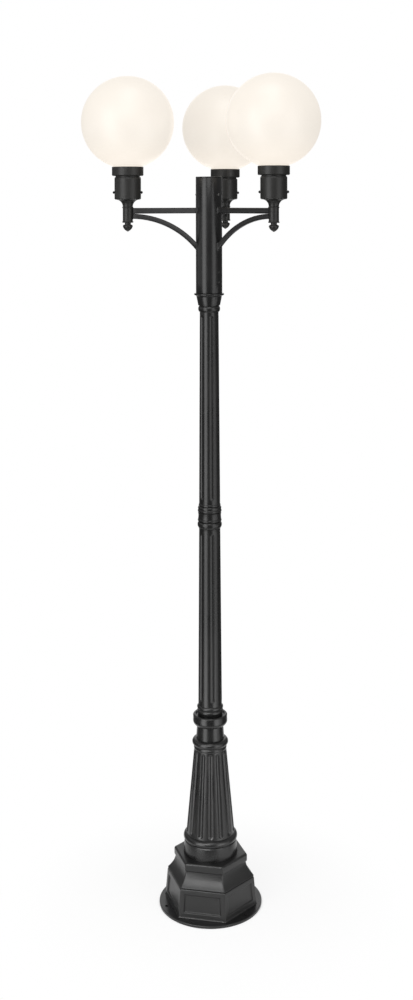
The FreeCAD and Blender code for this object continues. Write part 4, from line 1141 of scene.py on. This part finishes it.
def opal_painted_glow(wire):
    """Grey cream opal with slow clouds under a painted glow, an emission that grows downwards, and a skin
    with a very slight pull.
    """
    cloud_scale = 9.0
    pull_scale = 16.0
    pull_depth = 0.08
    painted_glow_full = 2.45
    painted_glow_least = 2.57
    cloud = wire.noise(cloud_scale)
    pull = wire.noise(pull_scale)
    place = wire.node("ShaderNodeTexCoord", {}, {}, "Object")
    height = wire.node("ShaderNodeSeparateXYZ", {}, {0: place}, 2)
    # The share of painted glow: full low on the globe and none high up, so the emission is painted brighter
    # towards the neck.
    low = wire.node(
        "ShaderNodeMapRange",
        {"interpolation_type": "SMOOTHSTEP"},
        {0: height, 1: painted_glow_full, 2: painted_glow_least, 3: 1.0, 4: 0.0},
    )
    return {
        "Base Color": cloud.spread(0.0, 1.0).between((0.235, 0.22, 0.20), (0.245, 0.232, 0.213)),
        "Emission Color": low.between((0.875, 0.814, 0.735), (1.0, 0.914, 0.81)),
        "Roughness": pull.spread(0.38, 0.46),
        "Normal": pull.bump(pull_depth),
    }


def shell_arc(radius, neck, steps, downwards):
    """Points of a circle on the axis, from its neck to its crown: r = R sin a, h = -R cos a."""
    turn = np.linspace(math.asin(neck / radius), np.pi, steps)
    arc = np.column_stack((radius * np.sin(turn), globe_level - radius * np.cos(turn)))
    arc[-1, 0] = 0.0
    return arc[::-1] if downwards else arc


# The emission strength sets the painted glow that gives the globes their even cream white in place of light
# falling on them.
opal_globe = finish("opal_globe", {"IOR": 1.5, "Emission Strength": 0.80}, opal_painted_glow)
globe_profile = np.vstack((
    course(
        (neck_radius - globe_wall, globe_foot),
        (neck_radius, globe_foot),
        (neck_radius, neck_top),
        ease=0.8,
    ),
    shell_arc(globe_radius, neck_radius, steps=90, downwards=False),
    shell_arc(globe_radius - globe_wall, neck_radius - globe_wall, steps=60, downwards=True),
    [(neck_radius - globe_wall, globe_foot)],
))
for number, centre in enumerate(LAMP_CENTRES, start=1):
    piece(
        f"globe_shell_{number}",
        opal_globe,
        "opal_globe",
        f"shade_{number}",
        [f"globe_{number}"],
        turned(globe_profile, 128, centre),
    )

# Studio
# One white sheet, as wide as the view, for floor and backdrop. Tall soft boxes stand at both sides, with
# weaker ones at the foot, the sides, in front and overhead. The camera is level, its view shifted down.

camera_turn = math.radians(12.0)
camera_away = 4.354
camera_height = 2.346
camera_roll = math.radians(0.14)
camera = bpy.data.cameras.new("camera")
camera.sensor_width = 36.0
camera.lens = 46.8
camera.shift_x = -0.0024
camera.shift_y = -0.3
camera_object = bpy.data.objects.new("camera", camera)
camera_object.location = (
    math.sin(camera_turn) * camera_away,
    -math.cos(camera_turn) * camera_away,
    camera_height,
)
camera_object.rotation_euler = (math.pi / 2, camera_roll, camera_turn)
bpy.context.scene.collection.objects.link(camera_object)
bpy.context.scene.camera = camera_object


def pale_surface(name, near, far):
    """A matt white surface that looks white itself to the eye and in reflections.

    The share of its own white grows from the object outwards between two distances, so that the shadow
    stays near it. Under the base plate there is none.
    """
    plate_edge = (0.16, 0.18)
    near_share = 0.85
    made = bpy.data.materials.new(name)
    made.use_nodes = True
    tree = made.node_tree
    shader = tree.nodes["Principled BSDF"]
    shader.inputs["Base Color"].default_value = (0.86, 0.86, 0.86, 1)
    shader.inputs["Roughness"].default_value = 0.9
    shader.inputs["Specular IOR Level"].default_value = 0.1
    wire = Wire(tree)
    ray = tree.nodes.new("ShaderNodeLightPath")
    eye = Wire(tree, ray.outputs["Is Camera Ray"])
    mirror = Wire(tree, ray.outputs["Is Glossy Ray"])
    through = Wire(tree, ray.outputs["Is Transmission Ray"])
    seen = wire.math("MAXIMUM", wire.math("MAXIMUM", eye, mirror), through)
    place = wire.node("ShaderNodeTexCoord", {}, {}, "Object")
    away = wire.node("ShaderNodeVectorMath", {"operation": "LENGTH"}, {0: place}, 1)
    smooth = {"interpolation_type": "SMOOTHSTEP"}
    past_plate = {0: away, 1: plate_edge[0], 2: plate_edge[1], 3: 0.0, 4: 1.0}
    past_shadow = {0: away, 1: near, 2: far, 3: near_share, 4: 1.0}
    open_floor = wire.node("ShaderNodeMapRange", smooth, past_plate)
    own = open_floor * wire.node("ShaderNodeMapRange", smooth, past_shadow)
    white = tree.nodes.new("ShaderNodeEmission")
    mixed = tree.nodes.new("ShaderNodeMixShader")
    tree.links.new((seen * own).socket, mixed.inputs[0])
    tree.links.new(shader.outputs[0], mixed.inputs[1])
    tree.links.new(white.outputs[0], mixed.inputs[2])
    tree.links.new(mixed.outputs[0], tree.nodes["Material Output"].inputs["Surface"])
    return made


def stage_sheet(name, coat, grid):
    """A sheet of the studio from a grid of points in metres."""
    mesh = bpy.data.meshes.new(name)
    mesh.from_pydata(grid.reshape(-1, 3).tolist(), [], cells(grid).tolist())
    mesh.materials.append(coat)
    made = bpy.data.objects.new(name, mesh)
    bpy.context.scene.collection.objects.link(made)


sweep_share = 0.168
sweep_front = -0.8
sweep_back = 4.2
sweep_bend = 1.1
sweep_top = 4.6
sweep_sink = 0.0005
shadow_near = 0.2
shadow_far = 0.7
bend = np.linspace(0, np.pi / 2, 13)
floor_line = np.linspace(sweep_front, sweep_back - sweep_bend, 20)
bend_line = sweep_back - sweep_bend + sweep_bend * np.sin(bend)
sweep_path = np.vstack((
    np.column_stack((floor_line, np.zeros(floor_line.size))),
    np.column_stack((bend_line, sweep_bend * (1 - np.cos(bend))))[1:],
    [(sweep_back, sweep_top)],
))
sweep_across = np.linspace(-1.0, 1.0, 9) * sweep_share * (camera_away + sweep_path[:, :1])
sweep_grid = np.dstack((
    sweep_across * math.cos(camera_turn) - sweep_path[:, :1] * math.sin(camera_turn),
    sweep_across * math.sin(camera_turn) + sweep_path[:, :1] * math.cos(camera_turn),
    sweep_path[:, 1:] - sweep_sink + 0 * sweep_across,
))
stage_sheet("paper_sweep", pale_surface("paper_white", shadow_near, shadow_far), sweep_grid)

room_dark = 0.12
room_pale = 0.36
dark_below = -0.05
pale_above = 0.45
world = bpy.data.worlds.new("studio")
world.use_nodes = True
room = Wire(world.node_tree)
way = room.node("ShaderNodeTexCoord", {}, {}, "Generated")
up = room.node("ShaderNodeSeparateXYZ", {}, {0: way}, 2)
glow = room.node(
    "ShaderNodeMapRange",
    {"interpolation_type": "SMOOTHSTEP"},
    {0: up, 1: dark_below, 2: pale_above, 3: room_dark, 4: room_pale},
)
world.node_tree.links.new(glow.socket, world.node_tree.nodes["Background"].inputs["Strength"])
world.node_tree.nodes["Background"].inputs["Color"].default_value = (1.0, 1.0, 1.0, 1)
bpy.context.scene.world = world


def soft_box(name, degrees, away, level, wide, tall, watts, tilt=0.0, spread=180.0):
    """A soft box at an angle from the camera's side and a distance and level in metres, facing the post.

    It is tilted down by so many degrees, and a grid holds its light within the spread.
    """
    light = bpy.data.lights.new(name, "AREA")
    light.shape = "RECTANGLE"
    light.size = wide
    light.size_y = tall
    light.energy = watts
    light.spread = math.radians(spread)
    turn = camera_turn - np.pi / 2 + math.radians(degrees)
    box = bpy.data.objects.new(name, light)
    box.location = (away * math.cos(turn), away * math.sin(turn), level)
    box.rotation_euler = (math.pi / 2 - math.radians(tilt), 0, turn + math.pi / 2)
    box.visible_camera = False
    bpy.context.scene.collection.objects.link(box)


soft_box("left_soft_box", degrees=-43.0, away=3.0, level=2.0, wide=1.75, tall=3.8, watts=63.0)
soft_box("right_soft_box", degrees=44.0, away=3.0, level=1.8, wide=1.6, tall=3.6, watts=31.0)
soft_box("left_side_box", degrees=-95.0, away=3.0, level=2.14, wide=2.4, tall=0.68, watts=3.4)
soft_box("right_side_box", degrees=72.0, away=3.0, level=0.3, wide=1.1, tall=2.5, watts=10.0)
soft_box("left_foot_box", degrees=-43.0, away=3.0, level=-0.6, wide=1.75, tall=1.3, watts=11.4)
soft_box("right_foot_box", degrees=44.0, away=3.0, level=-0.6, wide=1.6, tall=1.2, watts=6.6)
soft_box("left_low_box", degrees=-43.0, away=1.1, level=0.27, wide=0.64, tall=0.5, watts=1.8)
soft_box("right_low_box", degrees=44.0, away=1.1, level=0.27, wide=0.6, tall=0.5, watts=1.5)
soft_box(
    "front_low_box", degrees=-16.0, away=1.5, level=1.25, wide=0.8, tall=0.45, watts=1.1,
    tilt=37.0, spread=60.0,
)
soft_box("front_soft_box", degrees=0.0, away=2.9, level=3.9, wide=1.8, tall=2.0, watts=25.0, tilt=52.0)
soft_box(
    "overhead_soft_box", degrees=0.0, away=1.0, level=4.6, wide=1.2, tall=1.4, watts=14.0,
    tilt=80.0,
)

bpy.context.scene.view_settings.view_transform = "Standard"
